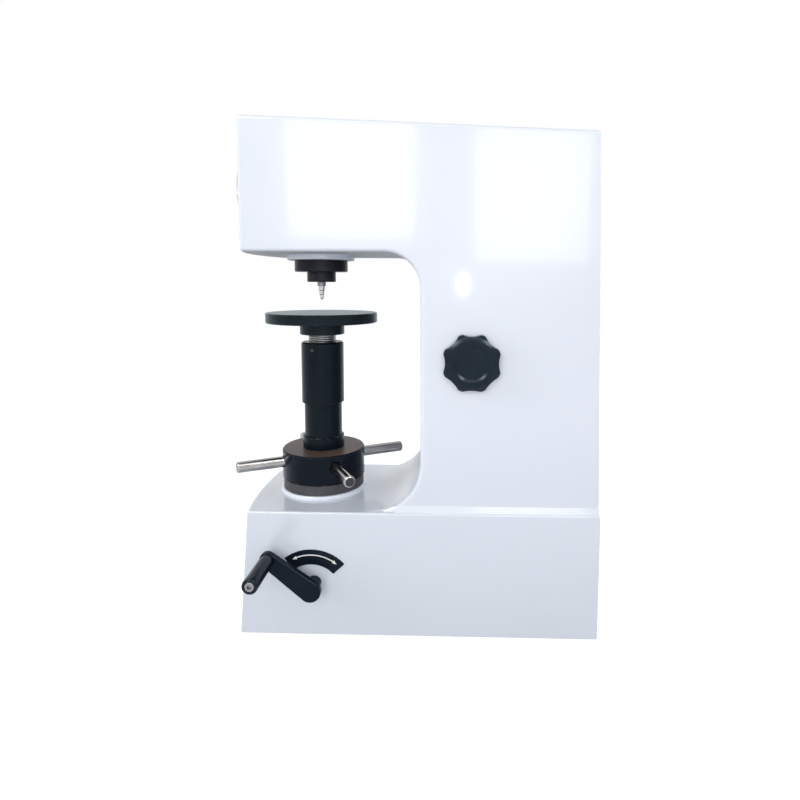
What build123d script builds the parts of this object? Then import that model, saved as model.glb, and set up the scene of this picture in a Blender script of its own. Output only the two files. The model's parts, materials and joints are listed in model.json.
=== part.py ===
from build123d import *
from math import atan2, cos, degrees, pi, radians, sin
import os

os.makedirs("parts", exist_ok=True)

# ---------------------------------------------------------------- frame casting
BODY_WIDTH = 180.0          # column and head, side to side
BASE_WIDTH = BODY_WIDTH + 11.0    # lower block, side to side
FRONT_Y = -75.0             # base front at its side edges, test axis is y = 0
HEAD_FRONT_Y = -78.3        # head front at its side edges
BASE_DRAFT = 12.0           # the base front leans out towards the bench
BASE_BOW = 9.0              # front face bulge in plan, base
HEAD_BOW = 14.0             # front face bulge in plan, head
BACK_Y = 363.7              # column back, carried down to the bench plane
BACK_LEAN = 1.25            # the back leans forward going up, degrees
BASE_BACK_Y = 361.0         # base back
FOOT_GAP = 1.0              # bench to casting
BASE_TOP = 159.5            # height of the ledge
LEDGE_RISE = 8.0            # sloped strip where the column meets the ledge
ARM_UNDER = 480.0           # underside of the head
HEAD_TOP = ARM_UNDER + 151.6     # top of the casting above the throat wall
TOP_TILT = 2.7              # the top falls towards the back, degrees
THROAT = 139.5              # test axis to throat wall
THROAT_TOP_R = 44.0
THROAT_FOOT_R = 60.0
WALL = 8.0                  # casting wall
SOFT_EDGE = 5.0             # rounding of the head's edges
ARM_BOSS_R = 45.0           # round boss under the head
ARM_BOSS_DROP = 7.0

# ---------------------------------------------------------------- fits
RUN_FIT = 0.05              # radial clearance of a running shaft
FREE_GAP = 0.3              # gap between faces that pass each other
SCREW_FIT = 0.4             # radial room of a screw in its nut

# ---------------------------------------------------------------- test table and elevating screw
TABLE_R = 75.0
TABLE_TOP = ARM_UNDER - 77.3
TABLE_RIM = 13.5
TABLE_HUB_R = 30.0
SCREW_R = 18.0
SCREW_TOP = ARM_UNDER - 117.0           # top of the upper sleeve, the hub sits above it
SCREW_NECK = 10.0           # bright thread between sleeve and hub
SCREW_FOOT = 62.0           # lower end of the screw
SPIGOT_R = 11.0
SPIGOT_LENGTH = 18.0
KEYWAY_WIDTH = 6.0
KEYWAY_DEPTH = 3.5
UPPER_SLEEVE_R = 28.6
UPPER_SLEEVE_FOOT = 280.0
LOWER_SLEEVE_R = 25.4
LOWER_SLEEVE_TOP = SCREW_TOP - 58.0
SLEEVE_CAP = 6.0
SLEEVE_COLLAR_R = 28.2
SLEEVE_COLLAR_H = 17.0
CAPSTAN_R = 56.0
CAPSTAN_BOTTOM = 177.3
CAPSTAN_TOP = 216.6
CAPSTAN_EDGE = 1.5
RING_R = 54.6
ROD_R = 7.4
ROD_Z = 201.3
ROD_END_R = 117.0
ROD_TURN = 28.0             # first rod, degrees from the +X side
ROD_COUNT = 4
ROD_SEAT_R = 38.0
NUT_R = 27.0
NUT_FOOT = 170.0
GUIDE_R = 30.0
GUIDE_FOOT = 96.0
GUIDE_FLANGE_R = 42.0
GUIDE_FLANGE_H = 6.0
RACE_OUT_R = 47.0
RACE_IN_R = 33.0
RING_WALL = 6.0
GUIDE_BOSS_R = 44.0
GUIDE_BOSS_H = 22.0

# ---------------------------------------------------------------- test spindle
SPINDLE_R = 12.5
SLEEVE_BUSH_R = 16.0
SLEEVE_BUSH_TOP = ARM_UNDER + 65.0
GUARD_R = 35.4
GUARD_BOTTOM = ARM_UNDER - 22.4
NOSE_R = 19.2
NOSE_BOTTOM = ARM_UNDER - 36.0
TIP_Z = ARM_UNDER - 59.8
HOLDER_R = 5.7
HOLDER_STEP_Z = ARM_UNDER - 41.4
TIP_R = 2.9

# ---------------------------------------------------------------- lever system
FULCRUM_Y = -14.0           # fulcrum knife, 14 mm in front of the spindle
HANGER_Y = 266.0            # hanger knife, 280 mm behind the fulcrum
LEVER_BOTTOM = ARM_UNDER + 88.0
LEVER_TOP = LEVER_BOTTOM + 26.0
LEVER_WIDTH = 24.0
LEVER_POCKET = 6.0
LEVER_REACH = 20.0          # lever beyond its end knives
KNIFE_H = 8.0
KNIFE_W = 10.0
POST_GAP = 6.0
POST_T = 12.0
POST_DEPTH = 20.0
BRIDGE_T = 10.0
HANGER_ROD_R = 6.4
WEIGHT_R = BODY_WIDTH / 2 - 35.0
WEIGHT_H = 32.0
WEIGHT_BORE = 8.0
WEIGHT_A_Z = 384.0
WEIGHT_B_Z = 330.0
BASE_WEIGHT_Z = 262.0
BASE_WEIGHT_H = 30.0
SEAT_DROP = 8.5             # lifted weight to its seat on the rod
FORK_TRAVEL = 8.0
FORK_ARM_T = 6.0
FORK_GAP = 3.0              # disc edge to fork arm
FORK_FINGER = 14.0
FORK_FINGER_W = 20.0
FORK_BAR_D = 16.0
FORK_BAR_H = 10.0
GUIDE_ROD_R = 4.0
GUIDE_ROD_X = 40.0
STIRRUP_T = 6.0
STIRRUP_W = 20.0
SEAT_COLLAR_R = 16.0
SEAT_COLLAR_H = 6.0
HANGER_NUT_H = 10.0

# ---------------------------------------------------------------- load selector knob
KNOB_Y = 201.8
KNOB_Z = 348.0
KNOB_R = 35.9
KNOB_VALLEY = 3.9
KNOB_LOBES = 8
KNOB_FACE = 20.0            # knob height from the wall
SELECTOR_R = 7.0
KNOB_GAP = 0.5
KNOB_SKIRT_R = 22.0
KNOB_SKIRT_H = 3.0
KNOB_RING_R = 29.3
KNOB_DISH_R = 21.2
KNOB_DISH_DEPTH = 2.4
KNOB_SHOULDER = 13.5        # height of the lobes at their tips
SELECT_CAM_R = 22.0
SELECT_SPAN = 240.0
SELECT_CAM_T = 8.0
SELECT_CAM_X = BODY_WIDTH / 2 - 22.0

# ---------------------------------------------------------------- load handle
HANDLE_Y = 7.6
HANDLE_Z = 69.9
HANDLE_ARM = 64.4           # centre distance hub to grip
HANDLE_LEAN = 52.6          # arm from vertical, towards the front
HANDLE_SHAFT_R = 8.0
HANDLE_BOSS_R = 10.5
HANDLE_BOSS_L = 7.0
HANDLE_HUB_R = 13.2
HANDLE_END_R = 9.6
HANDLE_IN = BODY_WIDTH / 2 + 24.0    # inner face of the arm
HANDLE_OUT = HANDLE_IN + 8.0
GRIP_END = HANDLE_OUT + 59.5
GRIP_R = 9.2
GRIP_NECK_R = 6.2
PLATE_T = 1.2
PLATE_Y = 4.2               # centre of the plate's arcs
PLATE_Z = 55.8
PLATE_OUT_R = 55.9
PLATE_IN_R = 37.1
PLATE_SPAN = 84.5
PLATE_TURN = 5.2            # middle of the plate towards the back, degrees
CRANK_R = 30.0
CRANK_X = BODY_WIDTH / 2 - 38.0
CRANK_T = 8.0
ROD_LINK_T = 6.0
LINK_PIN_R = 4.0
CAM_SHAFT_R = 7.0
CAM_HIGH = 35.0
CAM_FALL = 5.9
CAM_SPAN = 110.0
CAM_T = 12.0
SHELF_TOP = 149.0
SHELF_T = 8.0
DASHPOT_R = 26.0
DASHPOT_TOP = 236.0
DASHPOT_WALL = 3.0
PISTON_ROD_R = 5.0
PISTON_H = 10.0
PISTON_Z = 190.0
BUSH_WALL = 5.0
BUSH_INSET = 3.0            # wall left in front of the bushing
SHAFT_END_X = BODY_WIDTH / 2 - 45.0
CAM_SHAFT_END_X = -30.0
CHEEK_T = 8.0
CHEEK_X = 20.0
CHEEK_W = 36.0

# ---------------------------------------------------------------- dial
DIAL_Z = ARM_UNDER + 82.0
BEZEL_R = 50.0
CASE_R = 46.0
BEZEL_FRONT_Y = HEAD_FRONT_Y - 17.5
DIAL_SEAT_Y = HEAD_FRONT_Y - 8.0
CASE_BACK_Y = -48.0
CASE_WALL = 3.0
BEZEL_WALL = 6.0
DIAL_BOSS_R = 58.0
DIAL_BOSS_DEPTH = 12.0
FACE_T = 1.0
GLASS_T = 1.5
POINTER_T = 0.6
POINTER_L = 36.0
SHORT_POINTER_L = 8.0
SHORT_DIAL_X = -17.0
PLUNGER_Y = -60.0
PLUNGER_R = 2.5
MEASURE_X = -44.0
MEASURE_Z = ARM_UNDER + 20.0
MEASURE_W = 8.0
MEASURE_PIVOT_Y = -8.0
MEASURE_PIN_R = 2.5
PUSH_Y = 44.0
PUSH_R = 3.0

# ---------------------------------------------------------------- covers and small hardware
COVER_T = 3.0
COVER_RIM = 9.0             # outer edge to cover
COVER_LAND = 7.0            # width the cover rests on
LAND_T = 5.0
REAR_COVER_T = 2.0
REAR_OPEN_W = BODY_WIDTH - 50.0
REAR_OPEN_LOW = 185.0
REAR_OPEN_HIGH = ARM_UNDER + 110.0
REAR_LAND = 9.0
SCREW_HEAD_R = 3.2
SCREW_SHANK_R = 1.6
FOOT_R = 14.0
FOOT_STUD_R = 5.0
FOOT_X = BODY_WIDTH / 2 - 14.0
FOOT_STUD_TOP = 36.0
FOOT_FRONT_Y = -52.0
FOOT_BACK_Y = 332.0
COVER_SCREW_IN = 30.0       # end screws from the cover's ends
GUIDE_REACH = 50.0          # fork guide plates above and below the bar
PAD_H = 4.5                 # raised seat of the bearing ring
PAD_RIM = 3.0

SCREW_HEAD_H = 2.0
GRUB_R = 2.2
KEY_LENGTH = 40.0
SCREW_RISE = 16.0
GUARD_LIP = 3.0
HOLDER_SHANK_R = 4.0
HOLDER_SHANK_L = 11.0
KNOB_SCOOP_R = 30.0
SCREW_GRIP_R = 3.2
GRIP_HEAD_R = 5.6
GRIP_HEAD_H = 4.0
GRIP_STUD_L = 7.0
GRIP_HEX = 5.0              # key size of the grip screw
POINTER_SHAFT_R = 1.2
PLUNGER_L = 36.0
DASHPOT_CAP_H = 6.0
DASHPOT_FLOOR = 4.0

# ---------------------------------------------------------------- places that follow from the sizes
UP = (Align.CENTER, Align.CENTER, Align.MIN)
NOSE_TOP = GUARD_BOTTOM - FREE_GAP
SPINDLE_TOP = LEVER_BOTTOM - KNIFE_H - FREE_GAP
HUB_FOOT = SCREW_TOP + SCREW_NECK
MEASURE_TOP = MEASURE_Z + MEASURE_W / 2
STIRRUP_FOOT = LEVER_BOTTOM - 20
NUT_BOTTOM = BASE_WEIGHT_Z - HANGER_NUT_H
SEAT_A = WEIGHT_A_Z - SEAT_DROP
SEAT_B = WEIGHT_B_Z - SEAT_DROP
FORK_IN = WEIGHT_R + FORK_GAP
FORK_BAR_Y = KNOB_Y - 3
FORK_BAR_Z = KNOB_Z + SELECT_CAM_R + FREE_GAP
BACK_TAN = sin(radians(BACK_LEAN)) / cos(radians(BACK_LEAN))
HEAD_BACK_Y = BACK_Y - HEAD_TOP * BACK_TAN
LID_FRONT = HEAD_FRONT_Y - THROAT               # the top plane starts above the throat wall
LID_BACK = HEAD_BACK_Y - THROAT
BACK_PLANE = Plane(origin=(0, BACK_Y, 0), x_dir=(1, 0, 0), z_dir=(0, -cos(radians(BACK_LEAN)), -sin(radians(BACK_LEAN))))
REAR_MID = (REAR_OPEN_LOW + REAR_OPEN_HIGH) / 2
REAR_W = REAR_OPEN_W + 2 * REAR_LAND
REAR_H = REAR_OPEN_HIGH - REAR_OPEN_LOW + 2 * REAR_LAND
REAR_SCREWS = [(x, REAR_MID + i * (REAR_H - REAR_LAND) / 2) for x in (-REAR_W / 2 + REAR_LAND / 2, REAR_W / 2 - REAR_LAND / 2) for i in (-1, 0, 1)]
FOOT_PLACES = [(x, y, 0) for x in (-FOOT_X, FOOT_X) for y in (FOOT_FRONT_Y, FOOT_BACK_Y)]
COVER_EDGE = BODY_WIDTH / 2 - COVER_RIM - COVER_LAND / 2
COVER_SCREWS = [(x, y) for x in (-COVER_EDGE, COVER_EDGE) 
                for y in (LID_FRONT + COVER_SCREW_IN, (LID_FRONT + LID_BACK) / 2, LID_BACK - COVER_SCREW_IN)]
KNOB_BACK = BODY_WIDTH / 2 + KNOB_GAP
SLEEVE_GRUB_PLANE = Plane(origin=(0, 0, SCREW_TOP - 10), x_dir=(0, 0, 1), z_dir=(cos(radians(17)), -sin(radians(17)), 0)).offset(SCREW_R)
NOSE_GRUB_PLANE = Plane(origin=(0, 0, NOSE_BOTTOM + 6.5), x_dir=(0, 0, 1), z_dir=(cos(radians(25)), -sin(radians(25)), 0)).offset(HOLDER_SHANK_R)
LEAN = radians(HANDLE_LEAN)
GRIP_YZ = (HANDLE_Y - HANDLE_ARM * sin(LEAN), HANDLE_Z + HANDLE_ARM * cos(LEAN))
HUB_YZ = (HANDLE_Y, HANDLE_Z)
PIN_YZ = (HANDLE_Y + CRANK_R * sin(LEAN), HANDLE_Z - CRANK_R * cos(LEAN))
CAM_YZ = (HANGER_Y, HANDLE_Z)
REAR_PIN_YZ = (HANGER_Y + CRANK_R * sin(LEAN), HANDLE_Z - CRANK_R * cos(LEAN))
LINK_X = CRANK_X + CRANK_T + FREE_GAP
FACE_Y = DIAL_SEAT_Y - 1.0 - FACE_T
LONG_Y = FACE_Y - 2.0
SHORT_DIAL = (SHORT_DIAL_X, DIAL_Z)
HALF_BODY = BODY_WIDTH / 2
HALF_BASE = BASE_WIDTH / 2
FLOOR = ARM_UNDER + WALL                       # floor inside the head
TOP_PLANE = Plane(origin=(0, THROAT, HEAD_TOP), x_dir=(1, 0, 0), z_dir=(0, sin(radians(TOP_TILT)), cos(radians(TOP_TILT))))


def top_at(y):
    """Height of the sloping top at depth y."""
    return HEAD_TOP - (y - THROAT) * sin(radians(TOP_TILT)) / cos(radians(TOP_TILT))


def back_at(z):
    """Depth of the leaning column back at height z."""
    return BACK_Y - z * BACK_TAN


def save(piece, node):
    """Label a finished piece and write its STEP file."""
    piece.label = node
    export_step(piece, f"parts/{node}.step")


def bowed_outline(half_width, front, back, bow):
    """Plan outline with straight sides and a bowed front."""
    with BuildSketch() as outline:
        with BuildLine():
            Polyline((-half_width, front), (-half_width, back), (half_width, back), (half_width, front))
            ThreePointArc((half_width, front), (0, front - bow), (-half_width, front))
        make_face()
    return outline.sketch


def c_profile(inset, foot, extra_top, half_width):
    """Side profile of column and head moved in by a wall, on its left-hand plane."""
    k = 1 - cos(pi / 4)
    top_r = THROAT_TOP_R + inset
    foot_r = THROAT_FOOT_R + inset
    wall = THROAT + inset
    under = ARM_UNDER + inset
    front = HEAD_FRONT_Y + inset - HEAD_BOW
    back_foot = back_at(foot) - inset
    back_top = HEAD_BACK_Y - inset
    ledge = BASE_TOP - inset
    with BuildSketch(Plane.YZ.offset(-half_width)) as profile:
        with BuildLine():
            Polyline((wall - foot_r, ledge), (wall - foot_r, foot), (back_foot, foot), (back_top, top_at(back_top) + extra_top),
                     (front, top_at(front) + extra_top), (front, under), (wall - top_r, under))
            ThreePointArc((wall - top_r, under), (wall - k * top_r, under - k * top_r), (wall, under - top_r))
            Line((wall, under - top_r), (wall, ledge + foot_r))
            ThreePointArc((wall, ledge + foot_r), (wall - k * foot_r, ledge + k * foot_r), (wall - foot_r, ledge))
        make_face()
    return profile.sketch


# ================================================================ frame
def spiral_cam(x, centre_y, centre_z, high, fall, span, side):
    """Cam outline: radius falls evenly over the span, from the top towards side."""
    steps = 12
    spiral = []
    for i in range(steps + 1):
        turn = radians(span * i / steps)
        r = high - fall * i / steps
        spiral.append((centre_y + side * r * sin(turn), centre_z + r * cos(turn)))
    lead = radians(-15)
    run_in = (centre_y + side * high * sin(lead), centre_z + high * cos(lead))
    mid_in = (centre_y + side * high * sin(lead / 2), centre_z + high * cos(lead / 2))
    low = high - fall
    tail = radians(span + 15)
    run_out = (centre_y + side * low * sin(tail), centre_z + low * cos(tail))
    mid_turn = radians(span + 7.5)
    mid_out = (centre_y + side * low * sin(mid_turn), centre_z + low * cos(mid_turn))
    back = radians(span + (360 - span) / 2)
    heel_r = low * 0.72
    heel = (centre_y + side * heel_r * sin(back), centre_z + heel_r * cos(back))
    with BuildSketch(Plane.YZ.offset(x)) as outline:
        with BuildLine():
            ThreePointArc(run_in, mid_in, spiral[0])
            Spline(*spiral)
            ThreePointArc(spiral[-1], mid_out, run_out)
            ThreePointArc(run_out, heel, run_in)
        make_face()
    return outline.sketch


def crank_outline(x, hub, big_r, pin, small_r):
    """Outline of a crank web: two round ends joined by their tangents."""
    with BuildSketch(Plane.YZ.offset(x)) as outline:
        with Locations(hub):
            Circle(big_r)
        with Locations(pin):
            Circle(small_r)
        make_hull()
    return outline.sketch


def disc_x(x, centre, radius):
    """Round outline across X, for shafts and bores."""
    with BuildSketch(Plane.YZ.offset(x)) as outline:
        with Locations(centre):
            Circle(radius)
    return outline.sketch


def disc_y(y, centre, radius):
    """Round outline facing the front, for the dial parts."""
    with BuildSketch(Plane.XZ.offset(-y)) as outline:
        with Locations(centre):
            Circle(radius)
    return outline.sketch


def knife(tip_y, base_z, direction):
    """Triangular knife edge across the lever."""
    with BuildSketch(Plane.YZ.offset(-LEVER_WIDTH / 2)) as wedge:
        with BuildLine():
            Polyline((tip_y - KNIFE_W / 2, base_z), (tip_y + KNIFE_W / 2, base_z), (tip_y, base_z + direction * KNIFE_H), close=True)
        make_face()
    return wedge.sketch


with BuildPart() as head_column:
    extrude(c_profile(0, BASE_TOP - 2 * SOFT_EDGE, 0, HALF_BODY), amount=BODY_WIDTH)
    extrude(bowed_outline(HALF_BODY, HEAD_FRONT_Y, BACK_Y, HEAD_BOW), amount=HEAD_TOP + 50, mode=Mode.INTERSECT)
    fillet(head_column.edges().filter_by(Axis.Z).group_by(Axis.Y)[0], SOFT_EDGE)
    fillet(head_column.faces().sort_by(Axis.Z)[-1].edges(), SOFT_EDGE)
    fillet(head_column.edges().filter_by(lambda e: abs(e.center().Z - ARM_UNDER) < 0.5 and e.center().Y < HEAD_FRONT_Y + 1), SOFT_EDGE)

with BuildPart() as base_block:
    with BuildSketch(Plane.XY.offset(FOOT_GAP)):
        add(bowed_outline(HALF_BASE, FRONT_Y - BASE_DRAFT, BASE_BACK_Y, BASE_BOW))
    with BuildSketch(Plane.XY.offset(BASE_TOP)):
        add(bowed_outline(HALF_BASE, FRONT_Y, BASE_BACK_Y, BASE_BOW))
    loft()
    fillet(base_block.faces().sort_by(Axis.Z)[-1].edges(), SOFT_EDGE / 2)

with BuildPart() as base_cavity:
    with BuildSketch(Plane.XY.offset(FOOT_GAP)):
        add(bowed_outline(HALF_BASE - WALL, FRONT_Y - BASE_DRAFT + WALL, BASE_BACK_Y - WALL, BASE_BOW))
    with BuildSketch(Plane.XY.offset(BASE_TOP - WALL)):
        add(bowed_outline(HALF_BASE - WALL, FRONT_Y + WALL, BASE_BACK_Y - WALL, BASE_BOW))
    loft()

with BuildPart() as head_cavity:
    extrude(c_profile(WALL, BASE_TOP - 2 * WALL, 0, HALF_BODY), amount=BODY_WIDTH)
    extrude(bowed_outline(HALF_BODY - WALL, HEAD_FRONT_Y + WALL, BACK_Y - WALL, HEAD_BOW), amount=HEAD_TOP + 50, mode=Mode.INTERSECT)
    with BuildSketch(TOP_PLANE.offset(-COVER_T - LAND_T)):
        Rectangle(2 * BODY_WIDTH, 4 * THROAT + 2 * HANGER_Y)
    extrude(amount=HEAD_TOP, mode=Mode.SUBTRACT)

with BuildPart() as frame_casting:
    add(base_block.part)
    add(head_column.part)
    with BuildSketch(Plane.XZ.offset(-back_at(BASE_TOP + LEDGE_RISE))):
        for side in (-1, 1):
            with BuildLine():
                Polyline((side * (HALF_BODY - 1), BASE_TOP), (side * (HALF_BASE - SOFT_EDGE / 2), BASE_TOP - 0.4),
                         (side * (HALF_BODY), BASE_TOP + LEDGE_RISE), (side * (HALF_BODY - 1), BASE_TOP + LEDGE_RISE), close=True)
            make_face()
    extrude(amount=BASE_BACK_Y - THROAT + THROAT_FOOT_R / 2)
    with Locations((0, 0, ARM_UNDER - ARM_BOSS_DROP)):
        Cylinder(ARM_BOSS_R, ARM_BOSS_DROP + WALL, align=UP)
    fillet(frame_casting.edges().filter_by(GeomType.CIRCLE).filter_by(lambda e: abs(e.center().Z - (ARM_UNDER - ARM_BOSS_DROP)) < 0.1), 2.0)
    add(base_cavity.part, mode=Mode.SUBTRACT)
    add(head_cavity.part, mode=Mode.SUBTRACT)
    # lid rebate and opening
    with BuildSketch(TOP_PLANE):
        add(bowed_outline(HALF_BODY - COVER_RIM, LID_FRONT + COVER_RIM, LID_BACK - COVER_RIM, HEAD_BOW))
    extrude(amount=-COVER_T, mode=Mode.SUBTRACT)
    with BuildSketch(TOP_PLANE):
        land = COVER_RIM + COVER_LAND
        add(bowed_outline(HALF_BODY - land, LID_FRONT + land, LID_BACK - land, HEAD_BOW))
    extrude(amount=-COVER_T - LAND_T - 1, mode=Mode.SUBTRACT)
    # rear opening with a rebate for its plate
    with BuildSketch(BACK_PLANE):
        with Locations((0, (REAR_OPEN_LOW + REAR_OPEN_HIGH) / 2)):
            RectangleRounded(REAR_OPEN_W, REAR_OPEN_HIGH - REAR_OPEN_LOW, 8)
    extrude(amount=WALL, mode=Mode.SUBTRACT)
    with BuildSketch(BACK_PLANE):
        with Locations((0, (REAR_OPEN_LOW + REAR_OPEN_HIGH) / 2)):
            RectangleRounded(REAR_OPEN_W + 2 * REAR_LAND, REAR_OPEN_HIGH - REAR_OPEN_LOW + 2 * REAR_LAND, 10)
    extrude(amount=REAR_COVER_T, mode=Mode.SUBTRACT)
    # raised seat of the bearing ring
    with Locations((0, 0, BASE_TOP)):
        Cylinder(RING_R + PAD_RIM, PAD_H, align=UP)
    fillet(frame_casting.edges().filter_by(GeomType.CIRCLE).filter_by(lambda e: abs(e.center().Z - BASE_TOP - PAD_H) < 0.1), PAD_RIM - 1)
    with Locations((0, 0, BASE_TOP)):
        Cylinder(RACE_OUT_R + 1, PAD_H, align=UP, mode=Mode.SUBTRACT)
    # bosses inside
    with Locations((0, 0, BASE_TOP - GUIDE_BOSS_H)):
        Cylinder(GUIDE_BOSS_R, GUIDE_BOSS_H, align=UP)
    with Locations(*[(x, y, FOOT_GAP) for x in (-FOOT_X, FOOT_X) for y in (FOOT_FRONT_Y, FOOT_BACK_Y)]):
        Cylinder(FOOT_R, FOOT_STUD_TOP + WALL, align=UP)
    with BuildSketch(Plane.XZ.offset(-DIAL_SEAT_Y)):
        with Locations((0, DIAL_Z)):
            Circle(DIAL_BOSS_R)
    extrude(amount=-DIAL_BOSS_DEPTH)
    with BuildSketch(Plane.YZ.offset(HALF_BASE - WALL / 2)):
        with Locations((HANDLE_Y, HANDLE_Z)):
            Circle(HANDLE_SHAFT_R + BUSH_WALL + WALL)
    extrude(amount=-WALL - WALL / 2)
    with BuildSketch(Plane.YZ.offset(HALF_BODY - WALL / 2)):
        with Locations((KNOB_Y, KNOB_Z)):
            Circle(SELECTOR_R + BUSH_WALL)
    extrude(amount=-WALL)
    # shelf that carries the dashpot
    with Locations((0, (HANGER_Y - DASHPOT_R - WALL + BASE_BACK_Y - 1) / 2, SHELF_TOP - SHELF_T)):
        Box(BASE_WIDTH - 2, BASE_BACK_Y - 1 - HANGER_Y + DASHPOT_R + WALL, SHELF_T, align=UP)
    # bores
    with Locations((0, 0, ARM_UNDER - ARM_BOSS_DROP - 1)):
        Cylinder(SLEEVE_BUSH_R, ARM_BOSS_DROP + WALL + 2, align=UP, mode=Mode.SUBTRACT)
    with Locations((0, 0, BASE_TOP - GUIDE_BOSS_H - 1)):
        Cylinder(GUIDE_R, GUIDE_BOSS_H + 2, align=UP, mode=Mode.SUBTRACT)
    with Locations((0, HANGER_Y, SHELF_TOP - SHELF_T - 1)):
        Cylinder(PISTON_ROD_R + 1, SHELF_T + 2, align=UP, mode=Mode.SUBTRACT)
    with Locations(*[(x, y, FOOT_GAP) for x in (-FOOT_X, FOOT_X) for y in (FOOT_FRONT_Y, FOOT_BACK_Y)]):
        Cylinder(FOOT_STUD_R, FOOT_STUD_TOP, align=UP, mode=Mode.SUBTRACT)
    with BuildSketch(Plane.XZ.offset(-DIAL_SEAT_Y)):
        with Locations((0, DIAL_Z)):
            Circle(BEZEL_R + FREE_GAP)
    extrude(amount=20, mode=Mode.SUBTRACT)
    with BuildSketch(Plane.XZ.offset(-DIAL_SEAT_Y)):
        with Locations((0, DIAL_Z)):
            Circle(CASE_R)
    extrude(amount=-DIAL_BOSS_DEPTH - 1, mode=Mode.SUBTRACT)
    with BuildSketch(Plane.YZ.offset(HALF_BASE - BUSH_INSET)):
        with Locations((HANDLE_Y, HANDLE_Z)):
            Circle(HANDLE_SHAFT_R + BUSH_WALL)
    extrude(amount=-3 * WALL, mode=Mode.SUBTRACT)
    with BuildSketch(Plane.YZ.offset(HALF_BASE + 1)):
        with Locations((HANDLE_Y, HANDLE_Z)):
            Circle(HANDLE_SHAFT_R + FREE_GAP)
    extrude(amount=-BUSH_INSET - 2, mode=Mode.SUBTRACT)
    with BuildSketch(Plane.YZ.offset(HALF_BODY + 1)):
        with Locations((KNOB_Y, KNOB_Z)):
            Circle(SELECTOR_R + RUN_FIT)
    extrude(amount=-3 * WALL, mode=Mode.SUBTRACT)
save(frame_casting.part, "frame_casting")

with BuildPart() as top_cover:
    with BuildSketch(TOP_PLANE):
        rim = COVER_RIM + FREE_GAP
        add(bowed_outline(HALF_BODY - rim, LID_FRONT + rim, LID_BACK - rim, HEAD_BOW))
    extrude(amount=-COVER_T)
    with Locations(TOP_PLANE):
        with Locations(*COVER_SCREWS):
            CounterSinkHole(SCREW_SHANK_R, SCREW_HEAD_R, depth=COVER_T)
save(top_cover.part, "top_cover")

with BuildPart() as top_cover_screws:
    with Locations(TOP_PLANE):
        with Locations(*COVER_SCREWS):
            Cone(SCREW_SHANK_R, SCREW_HEAD_R, SCREW_HEAD_R - SCREW_SHANK_R, align=(Align.CENTER, Align.CENTER, Align.MAX))
            Cylinder(SCREW_SHANK_R, COVER_T, align=(Align.CENTER, Align.CENTER, Align.MAX))
save(top_cover_screws.part, "top_cover_screws")

with BuildPart() as rear_cover:
    with BuildSketch(BACK_PLANE):
        with Locations((0, REAR_MID)):
            RectangleRounded(REAR_W - 2 * FREE_GAP, REAR_H - 2 * FREE_GAP, 10 - FREE_GAP)
        with Locations(*REAR_SCREWS):
            Circle(SCREW_SHANK_R, mode=Mode.SUBTRACT)
    extrude(amount=REAR_COVER_T)
save(rear_cover.part, "rear_cover")

with BuildPart() as rear_cover_screws:
    with BuildSketch(BACK_PLANE):
        with Locations(*REAR_SCREWS):
            Circle(SCREW_HEAD_R)
    extrude(amount=-SCREW_HEAD_H, taper=25)
    with BuildSketch(BACK_PLANE):
        with Locations(*REAR_SCREWS):
            Circle(SCREW_SHANK_R)
    extrude(amount=REAR_COVER_T)
save(rear_cover_screws.part, "rear_cover_screws")

with BuildPart() as leveling_feet:
    with Locations(*FOOT_PLACES):
        Cylinder(FOOT_R, FOOT_GAP, align=UP)
    fillet(leveling_feet.edges().group_by(Axis.Z)[0], FOOT_GAP / 4)
    with Locations(*FOOT_PLACES):
        Cylinder(FOOT_STUD_R, FOOT_GAP + FOOT_STUD_TOP - 2, align=UP)
save(leveling_feet.part, "leveling_feet")

# ================================================================ screw guide and capstan
with BuildPart() as guide_sleeve:
    with BuildSketch(Plane.XZ):
        with BuildLine():
            Polyline((SCREW_R + RUN_FIT, GUIDE_FOOT), (GUIDE_R, GUIDE_FOOT), (GUIDE_R, BASE_TOP), (GUIDE_FLANGE_R, BASE_TOP),
                     (GUIDE_FLANGE_R, BASE_TOP + GUIDE_FLANGE_H), (SCREW_R + RUN_FIT, BASE_TOP + GUIDE_FLANGE_H), close=True)
        make_face()
    revolve(axis=Axis.Z)
    with Locations((0, SCREW_R - KEYWAY_DEPTH + FREE_GAP, GUIDE_FOOT + WALL)):
        Box(KEYWAY_WIDTH - 2 * RUN_FIT, KEYWAY_DEPTH + 1, KEY_LENGTH, align=(Align.CENTER, Align.MIN, Align.MIN))
save(guide_sleeve.part, "guide_sleeve")

with BuildPart() as bearing_ring:
    with BuildSketch(Plane.XZ):
        with BuildLine():
            Polyline((RING_R - RING_WALL, BASE_TOP + PAD_H), (RING_R, BASE_TOP + PAD_H), (RING_R, CAPSTAN_BOTTOM - FREE_GAP),
                     (RING_R - RING_WALL, CAPSTAN_BOTTOM - FREE_GAP), close=True)
        make_face()
    revolve(axis=Axis.Z)
save(bearing_ring.part, "bearing_ring")

RACE_FOOT = BASE_TOP + GUIDE_FLANGE_H
with BuildPart() as thrust_race:
    with Locations((0, 0, RACE_FOOT)):
        Cylinder(RACE_OUT_R, CAPSTAN_BOTTOM - FREE_GAP - RACE_FOOT, align=UP)
        Cylinder(RACE_IN_R, CAPSTAN_BOTTOM - FREE_GAP - RACE_FOOT, align=UP, mode=Mode.SUBTRACT)
    with BuildSketch(Plane.XZ):
        with Locations((RACE_OUT_R, (RACE_FOOT + CAPSTAN_BOTTOM) / 2)):
            Rectangle(3, 3)
    revolve(axis=Axis.Z, mode=Mode.SUBTRACT)
save(thrust_race.part, "thrust_race")

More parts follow.
